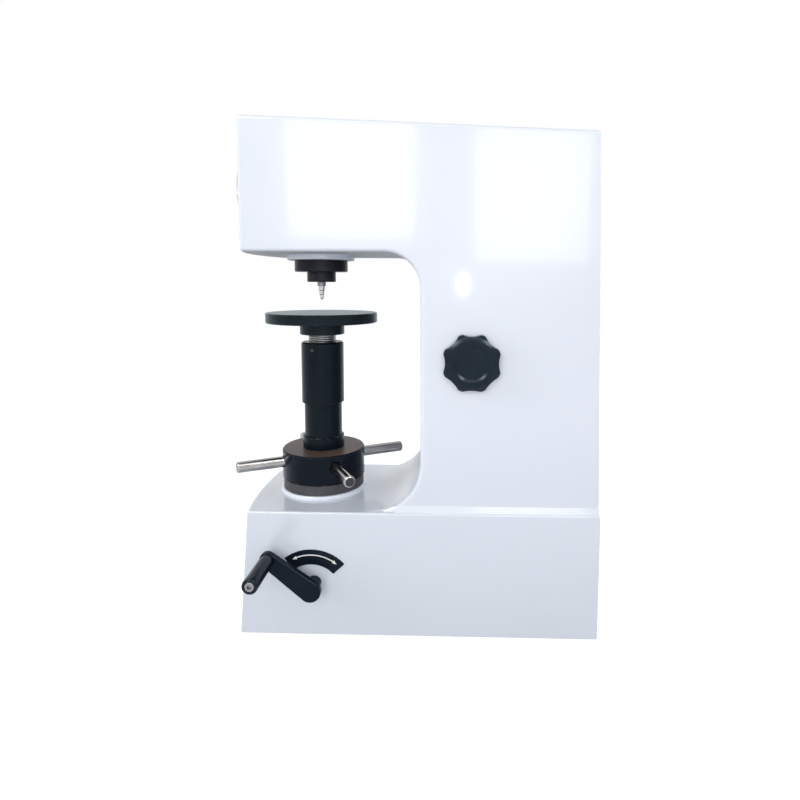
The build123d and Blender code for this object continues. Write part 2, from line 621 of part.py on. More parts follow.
ROD_PLANES = [Plane(origin=(0, 0, ROD_Z), x_dir=(0, 0, 1), z_dir=(cos(a), sin(a), 0))
              for a in [radians(ROD_TURN + i * 360 / ROD_COUNT) for i in range(ROD_COUNT)]]
with BuildPart() as capstan:
    with BuildSketch(Plane.XZ):
        with BuildLine():
            Polyline((NUT_R, CAPSTAN_BOTTOM), (CAPSTAN_R - CAPSTAN_EDGE, CAPSTAN_BOTTOM), (CAPSTAN_R, CAPSTAN_BOTTOM + CAPSTAN_EDGE),
                     (CAPSTAN_R, CAPSTAN_TOP - CAPSTAN_EDGE), (CAPSTAN_R - CAPSTAN_EDGE, CAPSTAN_TOP), (NUT_R, CAPSTAN_TOP), close=True)
        make_face()
    revolve(axis=Axis.Z)
    for place in ROD_PLANES:
        with BuildSketch(place.offset(ROD_SEAT_R)):
            Circle(ROD_R)
        extrude(amount=CAPSTAN_R, mode=Mode.SUBTRACT)
        with BuildSketch(place.offset(CAPSTAN_R - 1.8)):
            Circle(ROD_R)
        extrude(amount=4, taper=-30, mode=Mode.SUBTRACT)
save(capstan.part, "capstan")

with BuildPart() as capstan_rods:
    for place in ROD_PLANES:
        with BuildSketch(place.offset(ROD_SEAT_R)):
            Circle(ROD_R)
        extrude(amount=ROD_END_R - ROD_SEAT_R)
    fillet(capstan_rods.edges().filter_by(GeomType.CIRCLE).filter_by(lambda e: e.center().X ** 2 + e.center().Y ** 2 > CAPSTAN_R ** 2), 2.8)
save(capstan_rods.part, "capstan_rods")

with BuildPart() as elevating_nut:
    with Locations((0, 0, NUT_FOOT)):
        Cylinder(NUT_R, CAPSTAN_TOP - NUT_FOOT, align=UP)
        Cylinder(SCREW_R + SCREW_FIT, CAPSTAN_TOP - NUT_FOOT, align=UP, mode=Mode.SUBTRACT)
    chamfer(elevating_nut.edges().group_by(Axis.Z)[0], 1)
save(elevating_nut.part, "elevating_nut")

with BuildPart() as lower_sleeve:
    with BuildSketch(Plane.XZ):
        with BuildLine():
            Polyline((SCREW_R + 2 * SCREW_FIT, CAPSTAN_TOP), (SLEEVE_COLLAR_R, CAPSTAN_TOP), (SLEEVE_COLLAR_R, CAPSTAN_TOP + SLEEVE_COLLAR_H - 1),
                     (SLEEVE_COLLAR_R - 1, CAPSTAN_TOP + SLEEVE_COLLAR_H), (LOWER_SLEEVE_R, CAPSTAN_TOP + SLEEVE_COLLAR_H),
                     (LOWER_SLEEVE_R, LOWER_SLEEVE_TOP), (SCREW_R + 2 * SCREW_FIT, LOWER_SLEEVE_TOP), close=True)
        make_face()
    revolve(axis=Axis.Z)
save(lower_sleeve.part, "lower_sleeve")

# ================================================================ elevating screw and table
with BuildPart() as elevating_screw:
    with Locations((0, 0, SCREW_FOOT)):
        Cylinder(SCREW_R, HUB_FOOT - SCREW_FOOT, align=UP)
    chamfer(elevating_screw.edges().group_by(Axis.Z)[0], 2)
    with Locations((0, 0, HUB_FOOT)):
        Cylinder(SPIGOT_R, SPIGOT_LENGTH, align=UP)
    chamfer(elevating_screw.edges().group_by(Axis.Z)[-1], 1)
    with Locations((0, SCREW_R - KEYWAY_DEPTH, SCREW_FOOT)):
        Box(KEYWAY_WIDTH, KEYWAY_DEPTH + 1, CAPSTAN_TOP + SCREW_RISE - SCREW_FOOT, align=(Align.CENTER, Align.MIN, Align.MIN), mode=Mode.SUBTRACT)
save(elevating_screw.part, "elevating_screw")

with BuildPart() as upper_sleeve:
    with BuildSketch(Plane.XZ):
        with BuildLine():
            Polyline((LOWER_SLEEVE_R + FREE_GAP, UPPER_SLEEVE_FOOT), (UPPER_SLEEVE_R, UPPER_SLEEVE_FOOT), (UPPER_SLEEVE_R, SCREW_TOP - 2),
                     (UPPER_SLEEVE_R - 2, SCREW_TOP), (SCREW_R, SCREW_TOP), (SCREW_R, SCREW_TOP - SLEEVE_CAP),
                     (LOWER_SLEEVE_R + FREE_GAP, SCREW_TOP - SLEEVE_CAP), close=True)
        make_face()
    revolve(axis=Axis.Z)
    with BuildSketch(SLEEVE_GRUB_PLANE):
        Circle(GRUB_R)
    extrude(amount=UPPER_SLEEVE_R, mode=Mode.SUBTRACT)
save(upper_sleeve.part, "upper_sleeve")

with BuildPart() as sleeve_grub_screw:
    with BuildSketch(SLEEVE_GRUB_PLANE):
        Circle(GRUB_R)
    extrude(amount=UPPER_SLEEVE_R - SCREW_R - 0.5)
    with BuildSketch(SLEEVE_GRUB_PLANE.offset(UPPER_SLEEVE_R - SCREW_R - 0.5)):
        RegularPolygon(GRUB_R * 0.55, 6)
    extrude(amount=-2.5, mode=Mode.SUBTRACT)
save(sleeve_grub_screw.part, "sleeve_grub_screw")

with BuildPart() as anvil_table:
    with BuildSketch(Plane.XZ):
        with BuildLine():
            Polyline((SPIGOT_R + RUN_FIT, HUB_FOOT), (TABLE_HUB_R - 1, HUB_FOOT), (TABLE_HUB_R, HUB_FOOT + 1), (TABLE_HUB_R, TABLE_TOP - TABLE_RIM),
                     (TABLE_R - 1, TABLE_TOP - TABLE_RIM), (TABLE_R, TABLE_TOP - TABLE_RIM + 1), (TABLE_R, TABLE_TOP - 1), (TABLE_R - 1, TABLE_TOP),
                     (0, TABLE_TOP), (0, HUB_FOOT + SPIGOT_LENGTH + FREE_GAP), (SPIGOT_R + RUN_FIT, HUB_FOOT + SPIGOT_LENGTH + FREE_GAP), close=True)
        make_face()
    revolve(axis=Axis.Z)
save(anvil_table.part, "anvil_table")

# ================================================================ test spindle
BOSS_FACE = ARM_UNDER - ARM_BOSS_DROP
with BuildPart() as spindle_sleeve:
    with Locations((0, 0, GUARD_BOTTOM + GUARD_LIP)):
        Cylinder(SLEEVE_BUSH_R, SLEEVE_BUSH_TOP - GUARD_BOTTOM - GUARD_LIP, align=UP)
        Cylinder(SPINDLE_R + RUN_FIT, SLEEVE_BUSH_TOP - GUARD_BOTTOM - GUARD_LIP, align=UP, mode=Mode.SUBTRACT)
    chamfer(spindle_sleeve.edges().group_by(Axis.Z)[-1].sort_by(SortBy.RADIUS)[-1], 1)
save(spindle_sleeve.part, "spindle_sleeve")

with BuildPart() as spindle_guard:
    with BuildSketch(Plane.XZ):
        with BuildLine():
            Polyline((SPINDLE_R + 1, GUARD_BOTTOM), (GUARD_R - 1, GUARD_BOTTOM), (GUARD_R, GUARD_BOTTOM + 1), (GUARD_R, BOSS_FACE),
                     (SLEEVE_BUSH_R, BOSS_FACE), (SLEEVE_BUSH_R, GUARD_BOTTOM + GUARD_LIP), (SPINDLE_R + 1, GUARD_BOTTOM + GUARD_LIP), close=True)
        make_face()
    revolve(axis=Axis.Z)
save(spindle_guard.part, "spindle_guard")

with BuildPart() as spindle:
    with Locations((0, 0, NOSE_TOP)):
        Cylinder(SPINDLE_R, SPINDLE_TOP - NOSE_TOP, align=UP)
    chamfer(spindle.edges().group_by(Axis.Z)[-1], 1)
save(spindle.part, "spindle")

with BuildPart() as spindle_nose:
    with Locations((0, 0, NOSE_BOTTOM)):
        Cylinder(NOSE_R, NOSE_TOP - NOSE_BOTTOM, align=UP)
    chamfer(spindle_nose.edges().group_by(Axis.Z)[0], 0.8)
    with Locations((0, 0, NOSE_BOTTOM)):
        Cylinder(HOLDER_SHANK_R, HOLDER_SHANK_L, align=UP, mode=Mode.SUBTRACT)
    with BuildSketch(NOSE_GRUB_PLANE):
        Circle(GRUB_R)
    extrude(amount=NOSE_R, mode=Mode.SUBTRACT)
save(spindle_nose.part, "spindle_nose")

with BuildPart() as indenter_set_screw:
    with BuildSketch(NOSE_GRUB_PLANE):
        Circle(GRUB_R)
    extrude(amount=NOSE_R - HOLDER_SHANK_R - 1.0)
    with BuildSketch(NOSE_GRUB_PLANE.offset(NOSE_R - HOLDER_SHANK_R - 1.0)):
        RegularPolygon(GRUB_R * 0.55, 6)
    extrude(amount=-2.5, mode=Mode.SUBTRACT)
save(indenter_set_screw.part, "indenter_set_screw")

with BuildPart() as indenter_holder:
    with Locations((0, 0, HOLDER_STEP_Z)):
        Cylinder(HOLDER_R, NOSE_BOTTOM - HOLDER_STEP_Z, align=UP)
    chamfer(indenter_holder.edges().group_by(Axis.Z)[0], 0.5)
    with Locations((0, 0, NOSE_BOTTOM)):
        Cylinder(HOLDER_SHANK_R, HOLDER_SHANK_L, align=UP)
save(indenter_holder.part, "indenter_holder")

with BuildPart() as indenter_tip:
    length = HOLDER_STEP_Z - TIP_Z
    with BuildSketch(Plane.XZ):
        with BuildLine():
            Polyline((0, HOLDER_STEP_Z), (TIP_R + 1.6, HOLDER_STEP_Z), (TIP_R + 1.4, HOLDER_STEP_Z - 0.3 * length), (TIP_R + 0.7, HOLDER_STEP_Z - 0.34 * length),
                     (TIP_R + 0.5, HOLDER_STEP_Z - 0.6 * length), (TIP_R, HOLDER_STEP_Z - 0.64 * length), (TIP_R - 0.3, TIP_Z + 1.4), (1.2, TIP_Z + 0.6),
                     (0.5, TIP_Z), (0, TIP_Z), close=True)
        make_face()
    revolve(axis=Axis.Z)
save(indenter_tip.part, "indenter_tip")

# ================================================================ lever system
FULCRUM_Z = LEVER_TOP + KNIFE_H
with BuildPart() as main_lever:
    with BuildSketch(Plane.YZ.offset(-LEVER_WIDTH / 2)):
        with Locations(((FULCRUM_Y + HANGER_Y) / 2, (LEVER_BOTTOM + LEVER_TOP) / 2)):
            RectangleRounded(HANGER_Y - FULCRUM_Y + 2 * LEVER_REACH, LEVER_TOP - LEVER_BOTTOM, 4)
    extrude(amount=LEVER_WIDTH)
    for side in (-1, 1):
        with BuildSketch(Plane.YZ.offset(side * LEVER_WIDTH / 2)):
            with Locations(((PUSH_Y + HANGER_Y) / 2 + 2, (LEVER_BOTTOM + LEVER_TOP) / 2)):
                SlotOverall(HANGER_Y - PUSH_Y - 2 * LEVER_REACH, LEVER_TOP - LEVER_BOTTOM - 10)
        extrude(amount=-side * LEVER_POCKET, mode=Mode.SUBTRACT)
save(main_lever.part, "main_lever")

with BuildPart() as lever_knives:
    extrude(knife(FULCRUM_Y, LEVER_TOP, 1), amount=LEVER_WIDTH)
    extrude(knife(0, LEVER_BOTTOM, -1), amount=LEVER_WIDTH)
    extrude(knife(HANGER_Y, LEVER_TOP, 1), amount=LEVER_WIDTH)
save(lever_knives.part, "lever_knives")

with BuildPart() as fulcrum_bracket:
    with BuildSketch(Plane.XZ.offset(-FULCRUM_Y - POST_DEPTH / 2)):
        with Locations((0, FLOOR)):
            Rectangle(LEVER_WIDTH + 2 * (POST_GAP + POST_T), FULCRUM_Z + FREE_GAP + BRIDGE_T - FLOOR, align=(Align.CENTER, Align.MIN))
            Rectangle(LEVER_WIDTH + 2 * POST_GAP, FULCRUM_Z + FREE_GAP - FLOOR, align=(Align.CENTER, Align.MIN), mode=Mode.SUBTRACT)
    extrude(amount=POST_DEPTH)
    fillet(fulcrum_bracket.edges().filter_by(Axis.Y).group_by(Axis.Z)[-1], 5)
save(fulcrum_bracket.part, "fulcrum_bracket")

with BuildPart() as lever_push_rod:
    with Locations((-LEVER_WIDTH / 2, PUSH_Y, LEVER_BOTTOM + 4)):
        Box(-MEASURE_X - LEVER_WIDTH / 2 + MEASURE_W / 2, MEASURE_W, 10, align=(Align.MAX, Align.CENTER, Align.MIN))
    with Locations((MEASURE_X, PUSH_Y, MEASURE_TOP + FREE_GAP)):
        Cylinder(PUSH_R, LEVER_BOTTOM + 4 - MEASURE_TOP - FREE_GAP, align=UP)
save(lever_push_rod.part, "lever_push_rod")

with BuildPart() as hanger_stirrup:
    with BuildSketch(Plane.XZ.offset(-HANGER_Y - STIRRUP_W / 2)):
        with Locations((0, STIRRUP_FOOT)):
            Rectangle(LEVER_WIDTH + 8 + 2 * STIRRUP_T, FULCRUM_Z + FREE_GAP + BRIDGE_T - STIRRUP_FOOT, align=(Align.CENTER, Align.MIN))
        with Locations((0, STIRRUP_FOOT + STIRRUP_T)):
            Rectangle(LEVER_WIDTH + 8, FULCRUM_Z + FREE_GAP - STIRRUP_FOOT - STIRRUP_T, align=(Align.CENTER, Align.MIN), mode=Mode.SUBTRACT)
    extrude(amount=STIRRUP_W)
    fillet(hanger_stirrup.edges().filter_by(Axis.Y).group_by(Axis.Z)[-1], 4)
    fillet(hanger_stirrup.edges().filter_by(Axis.Y).group_by(Axis.Z)[0], 4)
save(hanger_stirrup.part, "hanger_stirrup")

with BuildPart() as hanger_rod:
    with BuildSketch(Plane.XZ.offset(-HANGER_Y)):
        with BuildLine():
            Polyline((0, NUT_BOTTOM), (2 * HANGER_ROD_R, NUT_BOTTOM), (2 * HANGER_ROD_R, BASE_WEIGHT_Z), (HANGER_ROD_R, BASE_WEIGHT_Z),
                     (HANGER_ROD_R, SEAT_B - SEAT_COLLAR_H), (SEAT_COLLAR_R, SEAT_B - 2), (SEAT_COLLAR_R, SEAT_B), (HANGER_ROD_R, SEAT_B),
                     (HANGER_ROD_R, SEAT_A - SEAT_COLLAR_H), (SEAT_COLLAR_R, SEAT_A - 2), (SEAT_COLLAR_R, SEAT_A), (HANGER_ROD_R, SEAT_A),
                     (HANGER_ROD_R, STIRRUP_FOOT), (0, STIRRUP_FOOT), close=True)
        make_face()
    revolve(axis=Axis((0, HANGER_Y, 0), (0, 0, 1)))
save(hanger_rod.part, "hanger_rod")

with BuildPart() as base_weight:
    with Locations((0, HANGER_Y, BASE_WEIGHT_Z)):
        Cylinder(WEIGHT_R, BASE_WEIGHT_H, align=UP)
    chamfer(base_weight.edges(), 1.5)
    with Locations((0, HANGER_Y, BASE_WEIGHT_Z)):
        Cylinder(HANGER_ROD_R, BASE_WEIGHT_H, align=UP, mode=Mode.SUBTRACT)
save(base_weight.part, "base_weight")

for node, foot in (("weight_a", WEIGHT_A_Z), ("weight_b", WEIGHT_B_Z)):
    with BuildPart() as weight_disc:
        with Locations((0, HANGER_Y, foot)):
            Cylinder(WEIGHT_R, WEIGHT_H, align=UP)
        chamfer(weight_disc.edges(), 1.5)
        with Locations((0, HANGER_Y, foot)):
            Cylinder(WEIGHT_BORE, WEIGHT_H, align=UP, mode=Mode.SUBTRACT)
    save(weight_disc.part, node)

with BuildPart() as weight_fork:
    for side in (-1, 1):
        with BuildSketch(Plane.YZ.offset(side * FORK_IN)):
            with BuildLine():
                Polyline((FORK_BAR_Y - FORK_BAR_D / 2, FORK_BAR_Z), (FORK_BAR_Y - FORK_BAR_D / 2, FORK_BAR_Z + FORK_BAR_H),
                         (HANGER_Y + FORK_FINGER_W / 2, WEIGHT_A_Z + 6), (HANGER_Y + FORK_FINGER_W / 2, WEIGHT_B_Z - FORK_ARM_T),
                         (HANGER_Y - FORK_FINGER_W / 2, WEIGHT_B_Z - FORK_ARM_T), (HANGER_Y - FORK_FINGER_W / 2, FORK_BAR_Z), close=True)
            make_face()
        extrude(amount=side * FORK_ARM_T)
        for foot in (WEIGHT_A_Z, WEIGHT_B_Z):
            with Locations((side * (FORK_IN - FORK_FINGER / 2), HANGER_Y, foot - FORK_ARM_T)):
                Box(FORK_FINGER, FORK_FINGER_W, FORK_ARM_T, align=UP)
    with Locations((-FORK_IN - FORK_ARM_T, FORK_BAR_Y, FORK_BAR_Z)):
        Box(FORK_IN + FORK_ARM_T + SELECT_CAM_X + SELECT_CAM_T, FORK_BAR_D, FORK_BAR_H, align=(Align.MIN, Align.CENTER, Align.MIN))
    with Locations(*[(x, FORK_BAR_Y, FORK_BAR_Z) for x in (-GUIDE_ROD_X, GUIDE_ROD_X)]):
        Cylinder(GUIDE_ROD_R + RUN_FIT, FORK_BAR_H, align=UP, mode=Mode.SUBTRACT)
save(weight_fork.part, "weight_fork")

with BuildPart() as fork_guide:
    for level in (FORK_BAR_Z - GUIDE_REACH, FORK_BAR_Z + GUIDE_REACH):
        with Locations((0, THROAT + WALL, level)):
            Box(2 * GUIDE_ROD_X + 20, FORK_BAR_Y + 8 - THROAT - WALL, 8, align=(Align.CENTER, Align.MIN, Align.MIN))
    fillet(fork_guide.edges().filter_by(Axis.Z).group_by(Axis.Y)[-1], 6)
    with Locations(*[(x, FORK_BAR_Y, FORK_BAR_Z - GUIDE_REACH) for x in (-GUIDE_ROD_X, GUIDE_ROD_X)]):
        Cylinder(GUIDE_ROD_R, 2 * GUIDE_REACH + WALL, align=UP)
save(fork_guide.part, "fork_guide")

# ================================================================ load selector
with BuildPart() as selector_knob:
    with BuildSketch(Plane.YZ.offset(KNOB_BACK + KNOB_SKIRT_H)):
        with Locations((KNOB_Y, KNOB_Z)):
            Circle(KNOB_R)
            with PolarLocations(KNOB_R + KNOB_SCOOP_R - KNOB_VALLEY, KNOB_LOBES):
                Circle(KNOB_SCOOP_R, mode=Mode.SUBTRACT)
        fillet(vertices(), 2.2)
    extrude(amount=KNOB_FACE - KNOB_SKIRT_H)
    # the lobes fall away outside the ring
    with BuildSketch(Plane(origin=(KNOB_BACK, KNOB_Y, KNOB_Z), x_dir=(1, 0, 0), z_dir=(0, 0, 1))):
        with BuildLine():
            Line((KNOB_FACE + 1, KNOB_RING_R - 1.2), (KNOB_FACE - 0.4, KNOB_RING_R - 1.2))
            ThreePointArc((KNOB_FACE - 0.4, KNOB_RING_R - 1.2), (KNOB_FACE - 0.9, KNOB_RING_R - 0.2), (KNOB_FACE - 2.2, KNOB_RING_R + 0.2))
            Spline((KNOB_FACE - 2.2, KNOB_RING_R + 0.2), (KNOB_SHOULDER + 1.6, KNOB_R - 2.4), (KNOB_SHOULDER - 1.5, KNOB_R + 0.4))
            Polyline((KNOB_SHOULDER - 1.5, KNOB_R + 0.4), (KNOB_SHOULDER - 1.5, KNOB_R + 3), (KNOB_FACE + 1, KNOB_R + 3), (KNOB_FACE + 1, KNOB_RING_R - 1.2))
        make_face()
    revolve(axis=Axis((0, KNOB_Y, KNOB_Z), (1, 0, 0)), mode=Mode.SUBTRACT)
    with BuildSketch(Plane.YZ.offset(KNOB_BACK)):
        with Locations((KNOB_Y, KNOB_Z)):
            Circle(KNOB_SKIRT_R)
    extrude(amount=KNOB_SKIRT_H)
    # dish with a sloping wall
    with BuildSketch(Plane(origin=(KNOB_BACK, KNOB_Y, KNOB_Z), x_dir=(1, 0, 0), z_dir=(0, 0, 1))):
        with BuildLine():
            Polyline((KNOB_FACE + 1, 0), (KNOB_FACE - KNOB_DISH_DEPTH, 0), (KNOB_FACE - KNOB_DISH_DEPTH, KNOB_DISH_R - 4.5))
            Spline((KNOB_FACE - KNOB_DISH_DEPTH, KNOB_DISH_R - 4.5), (KNOB_FACE - KNOB_DISH_DEPTH + 0.5, KNOB_DISH_R - 1.8),
                   (KNOB_FACE - 0.5, KNOB_DISH_R), (KNOB_FACE + 0.1, KNOB_DISH_R + 1.2))
            Polyline((KNOB_FACE + 0.1, KNOB_DISH_R + 1.2), (KNOB_FACE + 1, KNOB_DISH_R + 1.2), (KNOB_FACE + 1, 0))
        make_face()
    revolve(axis=Axis((0, KNOB_Y, KNOB_Z), (1, 0, 0)), mode=Mode.SUBTRACT)
    with BuildSketch(Plane.YZ.offset(KNOB_BACK)):
        with Locations((KNOB_Y, KNOB_Z)):
            Circle(SELECTOR_R)
    extrude(amount=KNOB_FACE / 2, mode=Mode.SUBTRACT)
save(selector_knob.part, "selector_knob")

with BuildPart() as selector_shaft:
    with BuildSketch(Plane.YZ.offset(SELECT_CAM_X)):
        with Locations((KNOB_Y, KNOB_Z)):
            Circle(SELECTOR_R)
    extrude(amount=KNOB_BACK + KNOB_FACE / 2 - SELECT_CAM_X)
save(selector_shaft.part, "selector_shaft")

with BuildPart() as selector_cam:
    extrude(spiral_cam(SELECT_CAM_X, KNOB_Y, KNOB_Z, SELECT_CAM_R, FORK_TRAVEL, SELECT_SPAN, 1), amount=SELECT_CAM_T)
    with BuildSketch(Plane.YZ.offset(SELECT_CAM_X)):
        with Locations((KNOB_Y, KNOB_Z)):
            Circle(SELECTOR_R)
    extrude(amount=SELECT_CAM_T, mode=Mode.SUBTRACT)
save(selector_cam.part, "selector_cam")

# ================================================================ load handle
with BuildPart() as handle_bushing:
    with BuildSketch(Plane.YZ.offset(HALF_BASE - BUSH_INSET)):
        with Locations((HANDLE_Y, HANDLE_Z)):
            Circle(HANDLE_SHAFT_R + BUSH_WALL)
            Circle(HANDLE_SHAFT_R + RUN_FIT, mode=Mode.SUBTRACT)
    extrude(amount=-2 * WALL)
save(handle_bushing.part, "handle_bushing")

with BuildPart() as direction_plate:
    with BuildSketch(Plane.YZ.offset(HALF_BASE)):
        with BuildLine():
            outer = CenterArc((PLATE_Y, PLATE_Z), PLATE_OUT_R, 90 - PLATE_TURN - PLATE_SPAN / 2, PLATE_SPAN)
            inner = CenterArc((PLATE_Y, PLATE_Z), PLATE_IN_R, 90 - PLATE_TURN - PLATE_SPAN / 2, PLATE_SPAN)
            Line(outer @ 0, inner @ 0)
            Line(outer @ 1, inner @ 1)
        make_face()
        fillet(vertices(), 0.8)
    extrude(amount=PLATE_T)
save(direction_plate.part, "direction_plate")

with BuildPart() as handle_arm:
    extrude(crank_outline(HANDLE_IN, HUB_YZ, HANDLE_HUB_R, GRIP_YZ, HANDLE_END_R), amount=HANDLE_OUT - HANDLE_IN)
    fillet(handle_arm.faces().sort_by(Axis.X)[-1].edges(), 2)
    fillet(handle_arm.faces().sort_by(Axis.X)[0].edges(), 1)
    extrude(disc_x(HANDLE_IN - HANDLE_BOSS_L, HUB_YZ, HANDLE_BOSS_R), amount=HANDLE_BOSS_L)
    extrude(disc_x(HALF_BASE, HUB_YZ, HANDLE_SHAFT_R), amount=HANDLE_OUT - 3 - HALF_BASE, mode=Mode.SUBTRACT)
    extrude(disc_x(HANDLE_OUT - GRIP_STUD_L, GRIP_YZ, SCREW_GRIP_R), amount=GRIP_STUD_L + 1, mode=Mode.SUBTRACT)
save(handle_arm.part, "handle_arm")

with BuildPart() as handle_shaft:
    extrude(disc_x(SHAFT_END_X, HUB_YZ, HANDLE_SHAFT_R), amount=HANDLE_OUT - 3 - SHAFT_END_X)
    chamfer(handle_shaft.edges().group_by(Axis.X)[0], 1)
save(handle_shaft.part, "handle_shaft")

with BuildPart() as handle_crank:
    extrude(crank_outline(CRANK_X, HUB_YZ, HANDLE_SHAFT_R + 6, PIN_YZ, LINK_PIN_R + 5), amount=CRANK_T)
    extrude(disc_x(CRANK_X, PIN_YZ, LINK_PIN_R), amount=CRANK_T + ROD_LINK_T + 3)
    extrude(disc_x(CRANK_X, HUB_YZ, HANDLE_SHAFT_R), amount=CRANK_T, mode=Mode.SUBTRACT)
save(handle_crank.part, "handle_crank")

with BuildPart() as handle_grip:
    with BuildSketch(Plane(origin=(HANDLE_OUT + FREE_GAP, GRIP_YZ[0], GRIP_YZ[1]), x_dir=(1, 0, 0), z_dir=(0, -1, 0))):
        with BuildLine():
            length = GRIP_END - HANDLE_OUT - FREE_GAP
            Line((0, SCREW_GRIP_R + RUN_FIT), (0, GRIP_NECK_R))
            Spline((0, GRIP_NECK_R), (length * 0.3, GRIP_NECK_R + 0.9), (length * 0.7, GRIP_R - 0.2), (length - 3, GRIP_R))
            ThreePointArc((length - 3, GRIP_R), (length - 0.9, GRIP_R - 0.9), (length, GRIP_R - 2.4))
            Polyline((length, GRIP_R - 2.4), (length, GRIP_HEAD_R + FREE_GAP), (length - GRIP_HEAD_H, GRIP_HEAD_R + FREE_GAP),
                     (length - GRIP_HEAD_H, SCREW_GRIP_R + RUN_FIT), (0, SCREW_GRIP_R + RUN_FIT))
        make_face()
    revolve(axis=Axis((0, GRIP_YZ[0], GRIP_YZ[1]), (1, 0, 0)))
save(handle_grip.part, "handle_grip")

with BuildPart() as grip_screw:
    extrude(disc_x(HANDLE_OUT - GRIP_STUD_L, GRIP_YZ, SCREW_GRIP_R), amount=GRIP_STUD_L + GRIP_END - HANDLE_OUT - GRIP_HEAD_H + FREE_GAP)
    extrude(disc_x(GRIP_END - GRIP_HEAD_H + FREE_GAP, GRIP_YZ, GRIP_HEAD_R), amount=GRIP_HEAD_H - FREE_GAP)
    fillet(grip_screw.edges().group_by(Axis.X)[-1], 1.2)
    with BuildSketch(Plane.YZ.offset(GRIP_END)):
        with Locations(GRIP_YZ):
            RegularPolygon(GRIP_HEX / 2, 6, major_radius=False)
    extrude(amount=-2.6, mode=Mode.SUBTRACT)
save(grip_screw.part, "grip_screw")

with BuildPart() as connecting_rod:
    extrude(crank_outline(LINK_X, PIN_YZ, LINK_PIN_R + 1.5, REAR_PIN_YZ, LINK_PIN_R + 1.5), amount=ROD_LINK_T)
    for eye in (PIN_YZ, REAR_PIN_YZ):
        extrude(disc_x(LINK_X, eye, LINK_PIN_R + 5), amount=ROD_LINK_T)
    extrude(disc_x(LINK_X, PIN_YZ, LINK_PIN_R + RUN_FIT), amount=ROD_LINK_T, mode=Mode.SUBTRACT)
    extrude(disc_x(LINK_X, REAR_PIN_YZ, LINK_PIN_R + FREE_GAP), amount=ROD_LINK_T, mode=Mode.SUBTRACT)
save(connecting_rod.part, "connecting_rod")

with BuildPart() as camshaft:
    extrude(disc_x(CAM_SHAFT_END_X, CAM_YZ, CAM_SHAFT_R), amount=CRANK_X - CAM_SHAFT_END_X)
    extrude(crank_outline(CRANK_X, CAM_YZ, CAM_SHAFT_R + 6, REAR_PIN_YZ, LINK_PIN_R + 5), amount=CRANK_T)
    extrude(disc_x(CRANK_X + CRANK_T, REAR_PIN_YZ, LINK_PIN_R), amount=ROD_LINK_T + 3)
save(camshaft.part, "camshaft")

with BuildPart() as lifting_cam:
    extrude(spiral_cam(-CAM_T / 2, CAM_YZ[0], CAM_YZ[1], CAM_HIGH, CAM_FALL, CAM_SPAN, -1), amount=CAM_T)
    extrude(disc_x(-CAM_T / 2, CAM_YZ, CAM_SHAFT_R), amount=CAM_T, mode=Mode.SUBTRACT)
save(lifting_cam.part, "lifting_cam")

with BuildPart() as camshaft_bracket:
    for side in (-1, 1):
        with BuildSketch(Plane.YZ.offset(side * CHEEK_X)):
            with Locations(CAM_YZ):
                Circle(CHEEK_W / 2)
            with Locations((CAM_YZ[0], SHELF_TOP - SHELF_T)):
                Rectangle(CHEEK_W, SHELF_TOP - SHELF_T - CAM_YZ[1], align=(Align.CENTER, Align.MAX))
            with Locations(CAM_YZ):
                Circle(CAM_SHAFT_R + RUN_FIT, mode=Mode.SUBTRACT)
        extrude(amount=side * CHEEK_T)
save(camshaft_bracket.part, "camshaft_bracket")

with BuildPart() as dashpot_cylinder:
    with BuildSketch(Plane.XZ.offset(-HANGER_Y)):
        with BuildLine():
            Polyline((PISTON_ROD_R + RUN_FIT, SHELF_TOP), (DASHPOT_R + 8, SHELF_TOP), (DASHPOT_R + 8, SHELF_TOP + DASHPOT_FLOOR), (DASHPOT_R, SHELF_TOP + DASHPOT_FLOOR),
                     (DASHPOT_R, DASHPOT_TOP - DASHPOT_CAP_H), (DASHPOT_R - DASHPOT_WALL, DASHPOT_TOP - DASHPOT_CAP_H), (DASHPOT_R - DASHPOT_WALL, SHELF_TOP + DASHPOT_FLOOR),
                     (PISTON_ROD_R + RUN_FIT, SHELF_TOP + DASHPOT_FLOOR), close=True)
        make_face()
    revolve(axis=Axis((0, HANGER_Y, 0), (0, 0, 1)))
save(dashpot_cylinder.part, "dashpot_cylinder")

with BuildPart() as dashpot_cap:
    with Locations((0, HANGER_Y, DASHPOT_TOP - DASHPOT_CAP_H)):
        Cylinder(DASHPOT_R, DASHPOT_CAP_H, align=UP)
    chamfer(dashpot_cap.edges().group_by(Axis.Z)[-1], 1)
    with Locations((0, HANGER_Y, DASHPOT_TOP - DASHPOT_CAP_H)):
        Cylinder(PISTON_ROD_R + RUN_FIT, DASHPOT_CAP_H, align=UP, mode=Mode.SUBTRACT)
save(dashpot_cap.part, "dashpot_cap")

with BuildPart() as piston_rod:
    with Locations((0, HANGER_Y, CAM_YZ[1] + CAM_HIGH + FREE_GAP)):
        Cylinder(PISTON_ROD_R, NUT_BOTTOM - CAM_YZ[1] - CAM_HIGH - 2 * FREE_GAP, align=UP)
    with Locations((0, HANGER_Y, PISTON_Z)):
        Cylinder(DASHPOT_R - DASHPOT_WALL - 2 * RUN_FIT, PISTON_H, align=UP)
save(piston_rod.part, "piston_rod")

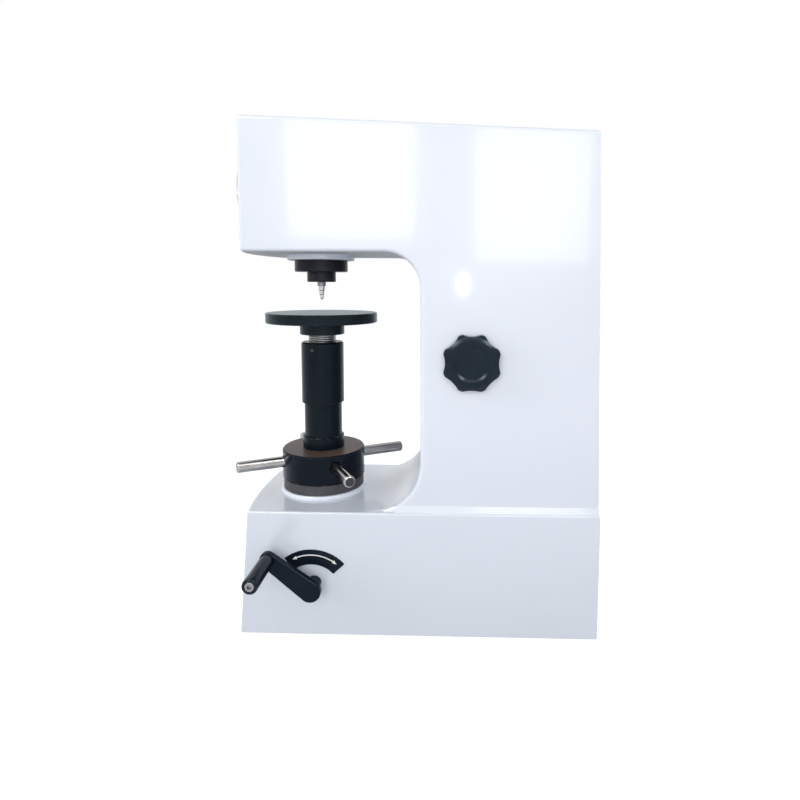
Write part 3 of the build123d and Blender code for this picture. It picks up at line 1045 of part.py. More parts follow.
# ================================================================ depth gauge
with BuildPart() as dial_case:
    extrude(disc_y(CASE_BACK_Y, (0, DIAL_Z), CASE_R), amount=CASE_BACK_Y - DIAL_SEAT_Y)
    extrude(disc_y(CASE_BACK_Y - CASE_WALL, (0, DIAL_Z), CASE_R - CASE_WALL), amount=CASE_BACK_Y - CASE_WALL - DIAL_SEAT_Y, mode=Mode.SUBTRACT)
    extrude(disc_y(CASE_BACK_Y, (0, DIAL_Z), POINTER_SHAFT_R + 4), amount=8)
    extrude(disc_y(CASE_BACK_Y, SHORT_DIAL, POINTER_SHAFT_R + 3), amount=8)
    extrude(disc_y(CASE_BACK_Y, (0, DIAL_Z), POINTER_SHAFT_R + RUN_FIT), amount=8, mode=Mode.SUBTRACT)
    extrude(disc_y(CASE_BACK_Y, SHORT_DIAL, POINTER_SHAFT_R + RUN_FIT), amount=8, mode=Mode.SUBTRACT)
    with Locations((0, PLUNGER_Y, DIAL_Z - CASE_R - 6)):
        Cylinder(PLUNGER_R + 2.5, 10, align=UP)
        Cylinder(PLUNGER_R + RUN_FIT, 12, align=UP, mode=Mode.SUBTRACT)
save(dial_case.part, "dial_case")

with BuildPart() as dial_bezel:
    with BuildSketch(Plane.YZ):
        with BuildLine():
            back = DIAL_SEAT_Y - FREE_GAP
            Polyline((back, DIAL_Z + BEZEL_R - BEZEL_WALL), (back, DIAL_Z + BEZEL_R), (BEZEL_FRONT_Y + 2.5, DIAL_Z + BEZEL_R),
                     (BEZEL_FRONT_Y, DIAL_Z + BEZEL_R - 2.5), (BEZEL_FRONT_Y, DIAL_Z + BEZEL_R - BEZEL_WALL), close=True)
        make_face()
    revolve(axis=Axis((0, 0, DIAL_Z), (0, 1, 0)))
save(dial_bezel.part, "dial_bezel")

with BuildPart() as dial_glass:
    extrude(disc_y(BEZEL_FRONT_Y + 1 + GLASS_T, (0, DIAL_Z), BEZEL_R - BEZEL_WALL), amount=GLASS_T)
save(dial_glass.part, "dial_glass")

with BuildPart() as dial_face:
    extrude(disc_y(FACE_Y + FACE_T, (0, DIAL_Z), BEZEL_R - BEZEL_WALL), amount=FACE_T)
    extrude(disc_y(FACE_Y + FACE_T, (0, DIAL_Z), POINTER_SHAFT_R + FREE_GAP), amount=FACE_T, mode=Mode.SUBTRACT)
    with BuildSketch(Plane.XZ.offset(-FACE_Y - FACE_T)):
        with Locations((0, DIAL_Z)):
            Circle(-SHORT_DIAL_X + POINTER_SHAFT_R + FREE_GAP)
            Circle(-SHORT_DIAL_X - POINTER_SHAFT_R - FREE_GAP, mode=Mode.SUBTRACT)
    extrude(amount=FACE_T / 2, mode=Mode.SUBTRACT)
save(dial_face.part, "dial_face")

with BuildPart() as long_pointer:
    with BuildSketch(Plane.XZ.offset(-LONG_Y)):
        with BuildLine():
            Polyline((-0.9, DIAL_Z - 12), (0.9, DIAL_Z - 12), (0.35, DIAL_Z + POINTER_L), (-0.35, DIAL_Z + POINTER_L), close=True)
        make_face()
        with Locations((0, DIAL_Z)):
            Circle(3)
    extrude(amount=POINTER_T)
    extrude(disc_y(CASE_BACK_Y - 1, (0, DIAL_Z), POINTER_SHAFT_R), amount=CASE_BACK_Y - 1 - LONG_Y)
save(long_pointer.part, "long_pointer")

with BuildPart() as measuring_plunger:
    with Locations((0, PLUNGER_Y, MEASURE_TOP + FREE_GAP)):
        Cylinder(PLUNGER_R, PLUNGER_L, align=UP)
    fillet(measuring_plunger.edges().group_by(Axis.Z)[0], 1)
save(measuring_plunger.part, "measuring_plunger")

with BuildPart() as measuring_lever:
    with BuildSketch(Plane.XY.offset(MEASURE_Z - MEASURE_W / 2)):
        with Locations((MEASURE_X, (PLUNGER_Y + PUSH_Y) / 2)):
            Rectangle(MEASURE_W, PUSH_Y - PLUNGER_Y + 2 * MEASURE_W - 2)
        with Locations((MEASURE_X - MEASURE_W / 2, PLUNGER_Y)):
            Rectangle(-MEASURE_X + MEASURE_W, MEASURE_W + 2, align=(Align.MIN, Align.CENTER))
    extrude(amount=MEASURE_W)
    fillet(measuring_lever.edges().filter_by(Axis.Z).group_by(Axis.Y)[-1], 2)
    extrude(disc_x(MEASURE_X - MEASURE_W, (MEASURE_PIVOT_Y, MEASURE_Z), MEASURE_PIN_R + RUN_FIT), amount=2 * MEASURE_W, mode=Mode.SUBTRACT)
save(measuring_lever.part, "measuring_lever")

with BuildPart() as measuring_bracket:
    with BuildSketch(Plane.XZ.offset(-MEASURE_PIVOT_Y - MEASURE_W)):
        with Locations((MEASURE_X, FLOOR)):
            Rectangle(MEASURE_W + 12, MEASURE_TOP + 2 - FLOOR, align=(Align.CENTER, Align.MIN))
        with Locations((MEASURE_X, FLOOR + 3)):
            Rectangle(MEASURE_W + 1, MEASURE_TOP - FLOOR, align=(Align.CENTER, Align.MIN), mode=Mode.SUBTRACT)
    extrude(amount=2 * MEASURE_W)
    extrude(disc_x(MEASURE_X - MEASURE_W / 2 - 6, (MEASURE_PIVOT_Y, MEASURE_Z), MEASURE_PIN_R), amount=MEASURE_W + 12)
save(measuring_bracket.part, "measuring_bracket")
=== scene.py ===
import json
import math

import bmesh
import bpy
from mathutils import Matrix, Vector


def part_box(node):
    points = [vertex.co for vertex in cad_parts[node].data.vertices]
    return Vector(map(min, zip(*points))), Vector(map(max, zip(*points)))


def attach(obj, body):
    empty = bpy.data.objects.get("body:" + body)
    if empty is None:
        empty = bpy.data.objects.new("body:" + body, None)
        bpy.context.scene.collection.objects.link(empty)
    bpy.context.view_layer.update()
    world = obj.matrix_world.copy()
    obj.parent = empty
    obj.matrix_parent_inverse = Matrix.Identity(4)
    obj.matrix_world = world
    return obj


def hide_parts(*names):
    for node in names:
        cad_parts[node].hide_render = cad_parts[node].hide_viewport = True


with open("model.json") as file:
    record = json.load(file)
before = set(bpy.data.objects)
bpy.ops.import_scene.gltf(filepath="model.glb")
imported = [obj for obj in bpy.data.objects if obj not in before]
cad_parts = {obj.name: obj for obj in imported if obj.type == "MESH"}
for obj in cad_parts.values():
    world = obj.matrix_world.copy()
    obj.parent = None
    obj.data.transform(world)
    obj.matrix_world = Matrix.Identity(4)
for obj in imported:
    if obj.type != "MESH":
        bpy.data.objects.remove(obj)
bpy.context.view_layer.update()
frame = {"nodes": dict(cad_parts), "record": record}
nodes = frame["nodes"]
MM = 0.001


# ------------------------------------------------------------ shader parts
NOISE_ROUGHNESS = 0.55
WORN_EDGE = 0.0012             # metres of a sharp edge that can be worn


def graph(name):
    """A new material with its node tree and shader."""
    mat = bpy.data.materials.new(name)
    mat.use_nodes = True
    tree = mat.node_tree
    shader = tree.nodes["Principled BSDF"]
    return mat, tree, shader


def add(tree, kind, **values):
    node = tree.nodes.new(kind)
    for key, value in values.items():
        setattr(node, key, value)
    return node


def feed(tree, socket, value):
    """Sets a socket to a number or a colour, or links another node's output to it."""
    if isinstance(value, float):
        socket.default_value = value
    elif isinstance(value, tuple):
        socket.default_value = (*value, 1)
    else:
        tree.links.new(value, socket)


def coords(tree, scale=(1, 1, 1)):
    """Object coordinates in metres, scaled."""
    tex = add(tree, "ShaderNodeTexCoord")
    mapping = add(tree, "ShaderNodeMapping")
    mapping.inputs["Scale"].default_value = scale
    tree.links.new(tex.outputs["Object"], mapping.inputs["Vector"])
    return mapping.outputs["Vector"]


def noise(tree, vector, scale, detail=4.0):
    tex = add(tree, "ShaderNodeTexNoise")
    tex.inputs["Scale"].default_value = scale
    tex.inputs["Detail"].default_value = detail
    tex.inputs["Roughness"].default_value = NOISE_ROUGHNESS
    tree.links.new(vector, tex.inputs["Vector"])
    return tex.outputs["Fac"]


def ramp(tree, value, low, high, at=(0.0, 1.0)):
    """Maps a value onto two colours."""
    node = add(tree, "ShaderNodeValToRGB")
    stops = node.color_ramp.elements
    stops[0].position, stops[1].position = at
    stops[0].color, stops[1].color = (*low, 1), (*high, 1)
    tree.links.new(value, node.inputs["Fac"])
    return node.outputs["Color"]


def span(tree, value, low, high, at=(0.0, 1.0)):
    """Maps a value linearly onto a range."""
    node = add(tree, "ShaderNodeMapRange")
    node.inputs["From Min"].default_value, node.inputs["From Max"].default_value = at
    node.inputs["To Min"].default_value = low
    node.inputs["To Max"].default_value = high
    tree.links.new(value, node.inputs["Value"])
    return node.outputs["Result"]


def mix(tree, factor, a, b):
    """Colour a, or b where the factor is 1."""
    node = add(tree, "ShaderNodeMix", data_type="RGBA")
    tree.links.new(factor, node.inputs["Factor"])
    feed(tree, node.inputs[6], a)
    feed(tree, node.inputs[7], b)
    return node.outputs[2]


def mix_value(tree, factor, a, b):
    """Number a, or b where the factor is 1."""
    node = add(tree, "ShaderNodeMix", data_type="FLOAT")
    tree.links.new(factor, node.inputs["Factor"])
    feed(tree, node.inputs[2], a)
    feed(tree, node.inputs[3], b)
    return node.outputs[0]


def maths(tree, operation, a, b):
    node = add(tree, "ShaderNodeMath", operation=operation)
    feed(tree, node.inputs[0], a)
    feed(tree, node.inputs[1], b)
    return node.outputs[0]


def dot(tree, a, b):
    """How far two directions agree. b is an output or a fixed direction."""
    node = add(tree, "ShaderNodeVectorMath", operation="DOT_PRODUCT")
    tree.links.new(a, node.inputs[0])
    if isinstance(b, tuple):
        node.inputs[1].default_value = b
    else:
        tree.links.new(b, node.inputs[1])
    return node.outputs["Value"]


def bump(tree, shader, height, strength, distance):
    node = add(tree, "ShaderNodeBump")
    node.inputs["Strength"].default_value = strength
    node.inputs["Distance"].default_value = distance
    tree.links.new(height, node.inputs["Height"])
    tree.links.new(node.outputs["Normal"], shader.inputs["Normal"])


def edge_wear(tree):
    """1 on worn edges, 0 elsewhere."""
    bevel = add(tree, "ShaderNodeBevel")
    bevel.inputs["Radius"].default_value = WORN_EDGE
    geo = add(tree, "ShaderNodeNewGeometry")
    return span(tree, dot(tree, bevel.outputs["Normal"], geo.outputs["Normal"]), 1.0, 0.0, (0.86, 0.99))


def facing(tree, axis, low, high):
    """0 to 1 as the surface turns towards a direction."""
    geo = add(tree, "ShaderNodeNewGeometry")
    return span(tree, dot(tree, geo.outputs["Normal"], axis), 0.0, 1.0, (low, high))


def bar_end(tree):
    """1 on faces turned away from the object's Z axis, as the ends of radial bars are."""
    place = add(tree, "ShaderNodeTexCoord")
    flat = add(tree, "ShaderNodeVectorMath", operation="MULTIPLY")
    flat.inputs[1].default_value = (1, 1, 0)
    tree.links.new(place.outputs["Object"], flat.inputs[0])
    outward = add(tree, "ShaderNodeVectorMath", operation="NORMALIZE")
    tree.links.new(flat.outputs[0], outward.inputs[0])
    return span(tree, dot(tree, outward.outputs[0], place.outputs["Normal"]), 0.0, 1.0, (0.9, 0.97))


# ------------------------------------------------------------ materials
def enamel():
    """Gloss enamel with faint orange peel and painted shade: darker low down and underneath, dull underneath
    and in front.
    """
    # painted shade: the enamel runs from the darker first colour low down to the second one higher up
    low, high = (0.655, 0.70, 0.765), (0.77, 0.805, 0.88)
    # painted shade: the second colour darkens faces that look down; the first is a random lighter tone
    cloudy, painted_under_shade = (0.75, 0.79, 0.865), (0.62, 0.64, 0.67)
    dull_roughness, gloss_coat = 0.62, 0.6
    mat, tree, shader = graph("enamel_white")
    where = coords(tree)
    split = add(tree, "ShaderNodeSeparateXYZ")
    tree.links.new(where, split.inputs["Vector"])
    # painted shade by height: darker towards the bottom
    tint = ramp(tree, span(tree, split.outputs["Z"], 0.0, 1.0, (0.03, 0.27)), low, high)
    cloud = span(tree, noise(tree, where, 5.0, 3.0), 0.0, 0.3, (0.35, 0.75))
    # painted shade underneath: faces that look down take a darker grey
    under = facing(tree, (0, 0, -1), 0.4, 0.8)
    tint = mix(tree, under, mix(tree, cloud, tint, cloudy), painted_under_shade)
    tree.links.new(tint, shader.inputs["Base Color"])
    dull = maths(tree, "MAXIMUM", under, facing(tree, (0, -1, 0), 0.6, 0.95))
    gloss = span(tree, noise(tree, where, 30.0), 0.16, 0.26)
    tree.links.new(mix_value(tree, dull, gloss, dull_roughness), shader.inputs["Roughness"])
    tree.links.new(span(tree, dull, gloss_coat, 0.0), shader.inputs["Coat Weight"])
    shader.inputs["Coat Roughness"].default_value = 0.06
    bump(tree, shader, noise(tree, where, 900.0, 2.0), 0.03, 0.0002)
    return mat


def blacked(name, low, high, rough=(0.22, 0.38), grain=(1, 1, 1), coat=0.0, grain_scale=220.0, wear=0.5,
            strength=0.12, top=None, top_rough=0.45, edge=(1.0, 1.0, 1.0), level=0.12):
    """Blackened or enamelled steel with machining grain, worn edges and, if given, a painted reflection on
    faces that look up.
    """
    bare = (0.22, 0.22, 0.23)
    mat, tree, shader = graph(name)
    where = coords(tree, grain)
    tint = ramp(tree, noise(tree, coords(tree), 22.0, 5.0), low, high, (0.3, 0.75))
    roughness = span(tree, noise(tree, where, grain_scale, 3.0), *rough, (0.3, 0.7))
    # painted reflection: faces that look up take the top colour, a reflection of the room
    if top:
        upward = facing(tree, (0, 0, 1), 0.9, 0.99)
        tint = mix(tree, upward, tint, top)
        roughness = mix_value(tree, upward, roughness, top_rough)
    worn = span(tree, noise(tree, coords(tree), 160.0), 0.0, wear, (0.45, 0.7))
    tint = mix(tree, maths(tree, "MULTIPLY", edge_wear(tree), worn), tint, bare)
    tree.links.new(tint, shader.inputs["Base Color"])
    tree.links.new(roughness, shader.inputs["Roughness"])
    shader.inputs["Metallic"].default_value = 0.2
    shader.inputs["Specular IOR Level"].default_value = level
    shader.inputs["Specular Tint"].default_value = (*edge, 1)
    shader.inputs["Coat Weight"].default_value = coat
    shader.inputs["Coat Roughness"].default_value = 0.12
    bump(tree, shader, noise(tree, where, grain_scale * 2, 3.0), strength, 0.0002)
    return mat


def steel(name, colour, rough=(0.12, 0.25), grain=(1, 1, 1), grain_scale=150.0, strength=0.08, ends=None):
    """Bare steel with turning marks along one direction, light staining and, if given, darker bar ends."""
    stained = 0.75
    mat, tree, shader = graph(name)
    where = coords(tree, grain)
    shade = tuple(c * stained for c in colour)
    tint = ramp(tree, noise(tree, coords(tree), 35.0, 6.0), shade, colour, (0.3, 0.62))
    if ends:
        tint = mix(tree, bar_end(tree), tint, ends)
    tree.links.new(tint, shader.inputs["Base Color"])
    shader.inputs["Metallic"].default_value = 1.0
    roughness = span(tree, noise(tree, where, grain_scale, 4.0), *rough, (0.3, 0.7))
    tree.links.new(roughness, shader.inputs["Roughness"])
    bump(tree, shader, noise(tree, where, grain_scale * 3, 3.0), strength, 0.0001)
    return mat


def phenolic(name, colour, rough):
    """Moulded black plastic with a faint skin texture."""
    mat, tree, shader = graph(name)
    where = coords(tree)
    light = tuple(c * 1.8 for c in colour)
    tint = ramp(tree, noise(tree, where, 40.0, 4.0), colour, light, (0.35, 0.8))
    tree.links.new(tint, shader.inputs["Base Color"])
    tree.links.new(span(tree, noise(tree, where, 90.0), *rough), shader.inputs["Roughness"])
    shader.inputs["Specular IOR Level"].default_value = 0.24
    shader.inputs["Specular Tint"].default_value = (0.68, 0.82, 1.0, 1)
    bump(tree, shader, noise(tree, where, 1400.0, 2.0), 0.06, 0.0001)
    return mat


def flat_print(name, colour):
    """Printed ink or dial paint."""
    mat, tree, shader = graph(name)
    where = coords(tree)
    tint = ramp(tree, noise(tree, where, 300.0), tuple(c * 0.92 for c in colour), colour)
    tree.links.new(tint, shader.inputs["Base Color"])
    tree.links.new(span(tree, noise(tree, where, 500.0), 0.4, 0.5), shader.inputs["Roughness"])
    bump(tree, shader, noise(tree, where, 2000.0), 0.03, 0.0001)
    return mat


def clear_glass():
    """Thin dial glass, a little greasy."""
    mat, tree, shader = graph("dial_glass")
    where = coords(tree)
    tint = ramp(tree, noise(tree, where, 60.0), (0.96, 0.98, 0.98), (1.0, 1.0, 1.0))
    tree.links.new(tint, shader.inputs["Base Color"])
    tree.links.new(span(tree, noise(tree, where, 25.0), 0.01, 0.04), shader.inputs["Roughness"])
    shader.inputs["Transmission Weight"].default_value = 1.0
    shader.inputs["IOR"].default_value = 1.46
    return mat


AROUND = (1, 1, 30)            # turning marks on parts that spin about Z
PLAIN = (1, 1, 1)
BROWN_TOP, TEAL_TOP = (0.10, 0.068, 0.052), (0.045, 0.09, 0.11)     # the room's reflections, as colours
# darker bar ends
DARK_BAR_END = (0.05, 0.05, 0.055)
BLUE_EDGE = (0.6, 0.8, 1.0)
M = {
    "paint_white": enamel(),
    "black_capstan": blacked("capstan_black", (0.002, 0.003, 0.006), (0.005, 0.007, 0.012), (0.16, 0.28),
                             AROUND, 0.05, top=BROWN_TOP, top_rough=0.4, edge=(0.65, 0.8, 1.0)),
    "black_sleeve": blacked("sleeve_blued", (0.002, 0.005, 0.008), (0.005, 0.010, 0.015), (0.2, 0.34), AROUND,
                            0.04, strength=0.05, edge=(0.75, 0.9, 1.0)),
    "black_table": blacked("table_black", (0.004, 0.006, 0.009), (0.010, 0.014, 0.019), (0.2, 0.34), AROUND,
                           0.03, top=TEAL_TOP, top_rough=0.31, edge=(0.55, 0.82, 0.92), level=0.2),
    "black_collar": blacked("collar_black", (0.010, 0.011, 0.015), (0.024, 0.025, 0.032), (0.26, 0.42),
                            AROUND),
    "black_handle": blacked("handle_black", (0.003, 0.006, 0.012), (0.007, 0.012, 0.021), (0.24, 0.4), PLAIN,
                            0.05, 60.0, edge=BLUE_EDGE),
    "plate_black": blacked("plate_black", (0.004, 0.007, 0.013), (0.008, 0.013, 0.023), (0.3, 0.42), PLAIN,
                           0.03, 80.0, 0.2, edge=BLUE_EDGE),
    "dark_ring": blacked("ring_grey", (0.055, 0.056, 0.062), (0.10, 0.10, 0.108), (0.34, 0.5), AROUND,
                         wear=0.6),
    "weight_iron": blacked("weight_iron", (0.03, 0.03, 0.032), (0.07, 0.07, 0.075), (0.4, 0.6), AROUND,
                           0.0, 120.0, 0.6, 0.3),
    "polished_steel": steel("rod_steel", (0.40, 0.395, 0.39), (0.10, 0.2), ends=DARK_BAR_END),
    "tip_steel": steel("tip_steel", (0.66, 0.66, 0.67), (0.12, 0.22), AROUND),
    "screw_steel": steel("screw_steel", (0.30, 0.30, 0.30), (0.16, 0.3), AROUND),
    "screw_grey": steel("screw_grey", (0.32, 0.32, 0.335), (0.3, 0.45), AROUND),
    "bearing_steel": steel("ground_steel", (0.56, 0.56, 0.57), (0.2, 0.32), AROUND),
    "machined_steel": steel("machined_steel", (0.42, 0.42, 0.43), (0.28, 0.45), PLAIN, 90.0, 0.2),
    "zinc": steel("zinc_plate", (0.55, 0.56, 0.58), (0.25, 0.4)),
    "chrome_rim": steel("rim_chrome", (0.62, 0.62, 0.63), (0.08, 0.16)),
    "bronze": steel("bronze", (0.50, 0.33, 0.16), (0.25, 0.4), AROUND),
    "black_plastic": phenolic("phenolic_black", (0.003, 0.007, 0.011), (0.2, 0.3)),
    "dial_white": flat_print("dial_white", (0.83, 0.83, 0.80)),
    "dial_glass": clear_glass(),
    "pointer_black": flat_print("pointer_black", (0.012, 0.012, 0.012)),
    "dial_red": flat_print("dial_red", (0.45, 0.03, 0.03)),
}
# these nodes are drawn in another finish than their slot in the record
REFINISHED = {"handle_shaft": "black_handle", "grip_screw": "screw_grey", "indenter_holder": "screw_grey",
              "sleeve_grub_screw": "dark_ring"}
slot_of = {entry["node"]: entry["material_slot"] for entry in frame["record"]["subparts"]}
for node, obj in nodes.items():
    mat = M[REFINISHED.get(node, slot_of[node])]
    if not obj.material_slots:
        obj.data.materials.append(mat)
    for s in obj.material_slots:
        s.material = mat


# ------------------------------------------------------------ new pieces
def piece(name, verts, faces, slot_name, body, crease=35.0):
    """A mesh in millimetres with the finish of that slot name, on a body."""
    mesh = bpy.data.meshes.new(name)
    mesh.from_pydata([tuple(c * MM for c in v) for v in verts], [], faces)
    solid = bmesh.new()
    solid.from_mesh(mesh)
    bmesh.ops.recalc_face_normals(solid, faces=solid.faces)
    solid.to_mesh(mesh)
    solid.free()
    for poly in mesh.polygons:
        poly.use_smooth = True
    mesh.set_sharp_from_angle(angle=math.radians(crease))
    mesh.materials.append(M[slot_name])
    obj = bpy.data.objects.new(name, mesh)
    bpy.context.scene.collection.objects.link(obj)
    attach(obj, body)
    return obj


def mm_box(node):
    """Lowest and highest corner of a CAD node, in millimetres."""
    low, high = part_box(node)
    return Vector(low) / MM, Vector(high) / MM


def around(sides, count):
    """Faces of a closed ring whose vertices are listed section by section, count of them in each."""
    faces = []
    for k in range(sides):
        here, there = k * count, (k + 1) % sides * count
        for i in range(count):
            j = (i + 1) % count
            faces.append((here + i, here + j, there + j, there + i))
    return faces


def lathe(profile, place, sides=96):
    """Ring: a closed profile of (along, radius) turned about an axis. place(along, u, v) gives the point."""
    verts = []
    for k in range(sides):
        angle = 2 * math.pi * k / sides
        verts += [place(a, r * math.sin(angle), r * math.cos(angle)) for a, r in profile]
    return verts, around(sides, len(profile))


def slab(outline, place, thick):
    """Prism over a closed outline of (u, v). place(u, v, depth) gives the point."""
    count = len(outline)
    verts = [place(u, v, 0) for u, v in outline] + [place(u, v, thick) for u, v in outline]
    faces = [tuple(range(count)), tuple(reversed(range(count, 2 * count)))]
    faces += [(i, (i + 1) % count, count + (i + 1) % count, count + i) for i in range(count)]
    return verts, faces


def joined(parts):
    """Several (verts, faces) as one."""
    verts, faces = [], []
    for more, polys in parts:
        faces += [tuple(i + len(verts) for i in poly) for poly in polys]
        verts += more
    return verts, faces


INK = 0.12                     # height of every printed mark

# grip: a plain, slightly swelling round handle with a counterbore for its screw
GRIP_START_R, GRIP_END_R = 8.5, 9.2
GRIP_BORE_R, GRIP_BORE_DEPTH, GRIP_BORE_EDGE, GRIP_CORE_R = 5.9, 4.0, 0.3, 3.2
GRIP_NOSE, GRIP_NOSE_EDGE = 1.2, 0.35          # rounding at the arm: its radius, and its place half way round
GRIP_TAIL_LONG, GRIP_TAIL_DEEP = 2.6, 2.0      # rounding at the free end: along the grip and across it
GRIP_SWELL_LESS = 4.2                          # what both roundings take off the swelling length
GRIP_SWELL_STEPS, GRIP_TAIL_STEPS = 9, 6


def grip_profile(length):
    """Closed section of the grip: (along, radius), from the arm to the free end and back through the bore."""
    points = [(0, GRIP_CORE_R), (0, GRIP_START_R - GRIP_NOSE)]
    points += [(GRIP_NOSE_EDGE, GRIP_START_R - GRIP_NOSE_EDGE), (GRIP_NOSE, GRIP_START_R)]
    for k in range(1, GRIP_SWELL_STEPS):
        t = k / GRIP_SWELL_STEPS
        swell = GRIP_START_R + (GRIP_END_R - GRIP_START_R) * math.sin(t * math.pi / 2)
        points.append((GRIP_NOSE + (length - GRIP_SWELL_LESS) * t, swell))
    for k in range(GRIP_TAIL_STEPS + 1):
        bend = k / GRIP_TAIL_STEPS * math.pi / 2
        points.append((length - GRIP_TAIL_LONG + GRIP_TAIL_LONG * math.sin(bend),
                       GRIP_END_R - GRIP_TAIL_DEEP + GRIP_TAIL_DEEP * math.cos(bend)))
    points += [(length, GRIP_BORE_R + GRIP_BORE_EDGE), (length - GRIP_BORE_EDGE, GRIP_BORE_R)]
    points += [(length - GRIP_BORE_DEPTH, GRIP_BORE_R), (length - GRIP_BORE_DEPTH, GRIP_CORE_R)]
    return points


grip_low, grip_high = mm_box("handle_grip")
grip_y, grip_z = (grip_low.y + grip_high.y) / 2, (grip_low.z + grip_high.z) / 2


def on_grip(along, y, z):
    return (grip_low.x + along, grip_y + y, grip_z + z)


grip = piece("grip_body_turned", *lathe(grip_profile(grip_high.x - grip_low.x), on_grip, 72),
             "black_plastic", "grip_body", 50.0)
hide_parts("handle_grip")

# double arrow printed on the direction plate
ARROW_Y, ARROW_Z, ARROW_R = 4.2, 55.8, 49.3
ARROW_FROM, ARROW_TO = -28.5, 40.0             # tips, degrees from upright towards the back
ARROW_WIDE, HEAD_LONG, HEAD_WIDE, ARROW_STEPS = 1.5, 5.6, 4.6, 28
plate_face = mm_box("direction_plate")[1].x


def on_plate(angle, radius, depth):
    a = math.radians(angle)
    return (plate_face + depth, ARROW_Y + radius * math.sin(a), ARROW_Z + radius * math.cos(a))


head_turn = math.degrees(HEAD_LONG / ARROW_R)
stem_turn = ARROW_TO - ARROW_FROM - 2 * head_turn
stem = [ARROW_FROM + head_turn + stem_turn * k / ARROW_STEPS for k in range(ARROW_STEPS + 1)]
outline = [(ARROW_FROM, ARROW_R), (stem[0], ARROW_R + HEAD_WIDE / 2)]
outline += [(angle, ARROW_R + ARROW_WIDE / 2) for angle in stem]
outline += [(stem[-1], ARROW_R + HEAD_WIDE / 2), (ARROW_TO, ARROW_R), (stem[-1], ARROW_R - HEAD_WIDE / 2)]
outline += [(angle, ARROW_R - ARROW_WIDE / 2) for angle in reversed(stem)]
outline += [(stem[0], ARROW_R - HEAD_WIDE / 2)]
piece("plate_arrow", *slab(outline, on_plate, INK), "dial_white", "frame")

# dial: a hundred divisions, a line round them and two rings of plain numbers
MARK_COUNT, MARK_STEP, MARK_EDGE = 100, 3.6, 1.6     # degrees apart, and in from the dial's edge
TENTH_LONG, FIFTH_LONG, UNIT_LONG = 6.2, 4.8, 3.2
BOLD, FINE = 0.55, 0.32
SCALE_LINE_EDGE = 1.2
OUTER_NUMBERS, INNER_NUMBERS = (12.2, 6.4), (19.4, 4.2)      # in from the dial's edge, and height
NUMBER_COUNT, NUMBER_STEP, INNER_START = 10, 10, 30          # outer 0 to 90, inner 30 to 120
dial_low, dial_high = mm_box("dial_face")
dial_z = (dial_low.z + dial_high.z) / 2
dial_front = dial_low.y
dial_r = (dial_high.z - dial_low.z) / 2


def on_dial(across, upward, depth):
    """A point in front of the dial; across is to the right of someone who reads it."""
    return (across, dial_front - depth, dial_z + upward)


def mark(angle, inner, outer, wide):
    """One division: a bar along the radius, clockwise from the top."""
    sine, cosine = math.sin(math.radians(angle)), math.cos(math.radians(angle))
    corners = [(r * sine + side * wide / 2 * cosine, r * cosine - side * wide / 2 * sine)
               for r, side in ((inner, -1), (inner, 1), (outer, 1), (outer, -1))]
    return slab(corners, on_dial, INK)


def printed_ring(outer, inner, across=0.0):
    """A printed circle on the dial, its centre to the right of the dial's by across."""
    section = [(0, outer), (0, inner), (INK, inner), (INK, outer)]
    return lathe(section, lambda depth, u, v: on_dial(across + u, v, depth))


def number(name, text, angle, inset, size, slot_name):
    """Raised ink figure, centred on a place of the dial, as a closed mesh."""
    a = math.radians(angle)
    across, upward = (dial_r - inset) * math.sin(a), (dial_r - inset) * math.cos(a)
    curve = bpy.data.curves.new(name, "FONT")
    curve.body = text
    curve.size = size
    curve.extrude = INK / 2
    curve.align_x = "CENTER"
    curve.align_y = "CENTER"
    holder = bpy.data.objects.new(name + "_curve", curve)
    bpy.context.scene.collection.objects.link(holder)
    mesh = bpy.data.meshes.new_from_object(holder.evaluated_get(bpy.context.evaluated_depsgraph_get()))
    bpy.data.objects.remove(holder)
    verts = [on_dial(across + v.co.x, upward + v.co.y, v.co.z + INK / 2) for v in mesh.vertices]
    faces = [tuple(p.vertices) for p in mesh.polygons]
    return piece(name, verts, faces, slot_name, "bezel_body")


marks = []
for k in range(MARK_COUNT):
    long_mark = TENTH_LONG if k % 10 == 0 else FIFTH_LONG if k % 5 == 0 else UNIT_LONG
    outer = dial_r - MARK_EDGE
    marks.append(mark(k * MARK_STEP, outer - long_mark, outer, BOLD if k % 5 == 0 else FINE))
piece("dial_marks", *joined(marks), "pointer_black", "bezel_body")
piece("dial_scale_line", *printed_ring(dial_r - SCALE_LINE_EDGE, dial_r - MARK_EDGE),
      "pointer_black", "bezel_body")
for k in range(NUMBER_COUNT):
    angle, value = 360 / NUMBER_COUNT * k, NUMBER_STEP * k
    number(f"dial_number_{k}", str(value), angle, *OUTER_NUMBERS, "pointer_black")
    number(f"dial_inner_number_{k}", str(INNER_START + value), angle, *INNER_NUMBERS, "dial_red")

# coin edge of the bezel: (depth behind its front, height over its rim) across the knurled band
KNURLS, KNURL_DEEP, KNURL_ROOT = 120, 0.45, -1.0
KNURL_BAND = [(1.6, -0.3), (2.2, 0.0), (6.4, 0.0), (7.0, -0.3)]
bezel_low, bezel_high = mm_box("dial_bezel")
bezel_r = (bezel_high.z - bezel_low.z) / 2
section = [(KNURL_BAND[0][0], KNURL_ROOT)] + KNURL_BAND + [(KNURL_BAND[-1][0], KNURL_ROOT)]
verts = []
for k in range(KNURLS * 2):
    a = math.pi * k / KNURLS
    crest = KNURL_DEEP if k % 2 else 0.0
    for depth, rise in section:
        r = bezel_r + rise + (crest - KNURL_DEEP if rise > KNURL_ROOT else 0.0)
        verts.append((r * math.sin(a), bezel_low.y + depth, dial_z + r * math.cos(a)))
piece("bezel_coin_edge", verts, around(KNURLS * 2, len(section)), "chrome_rim", "bezel_body", 20.0)

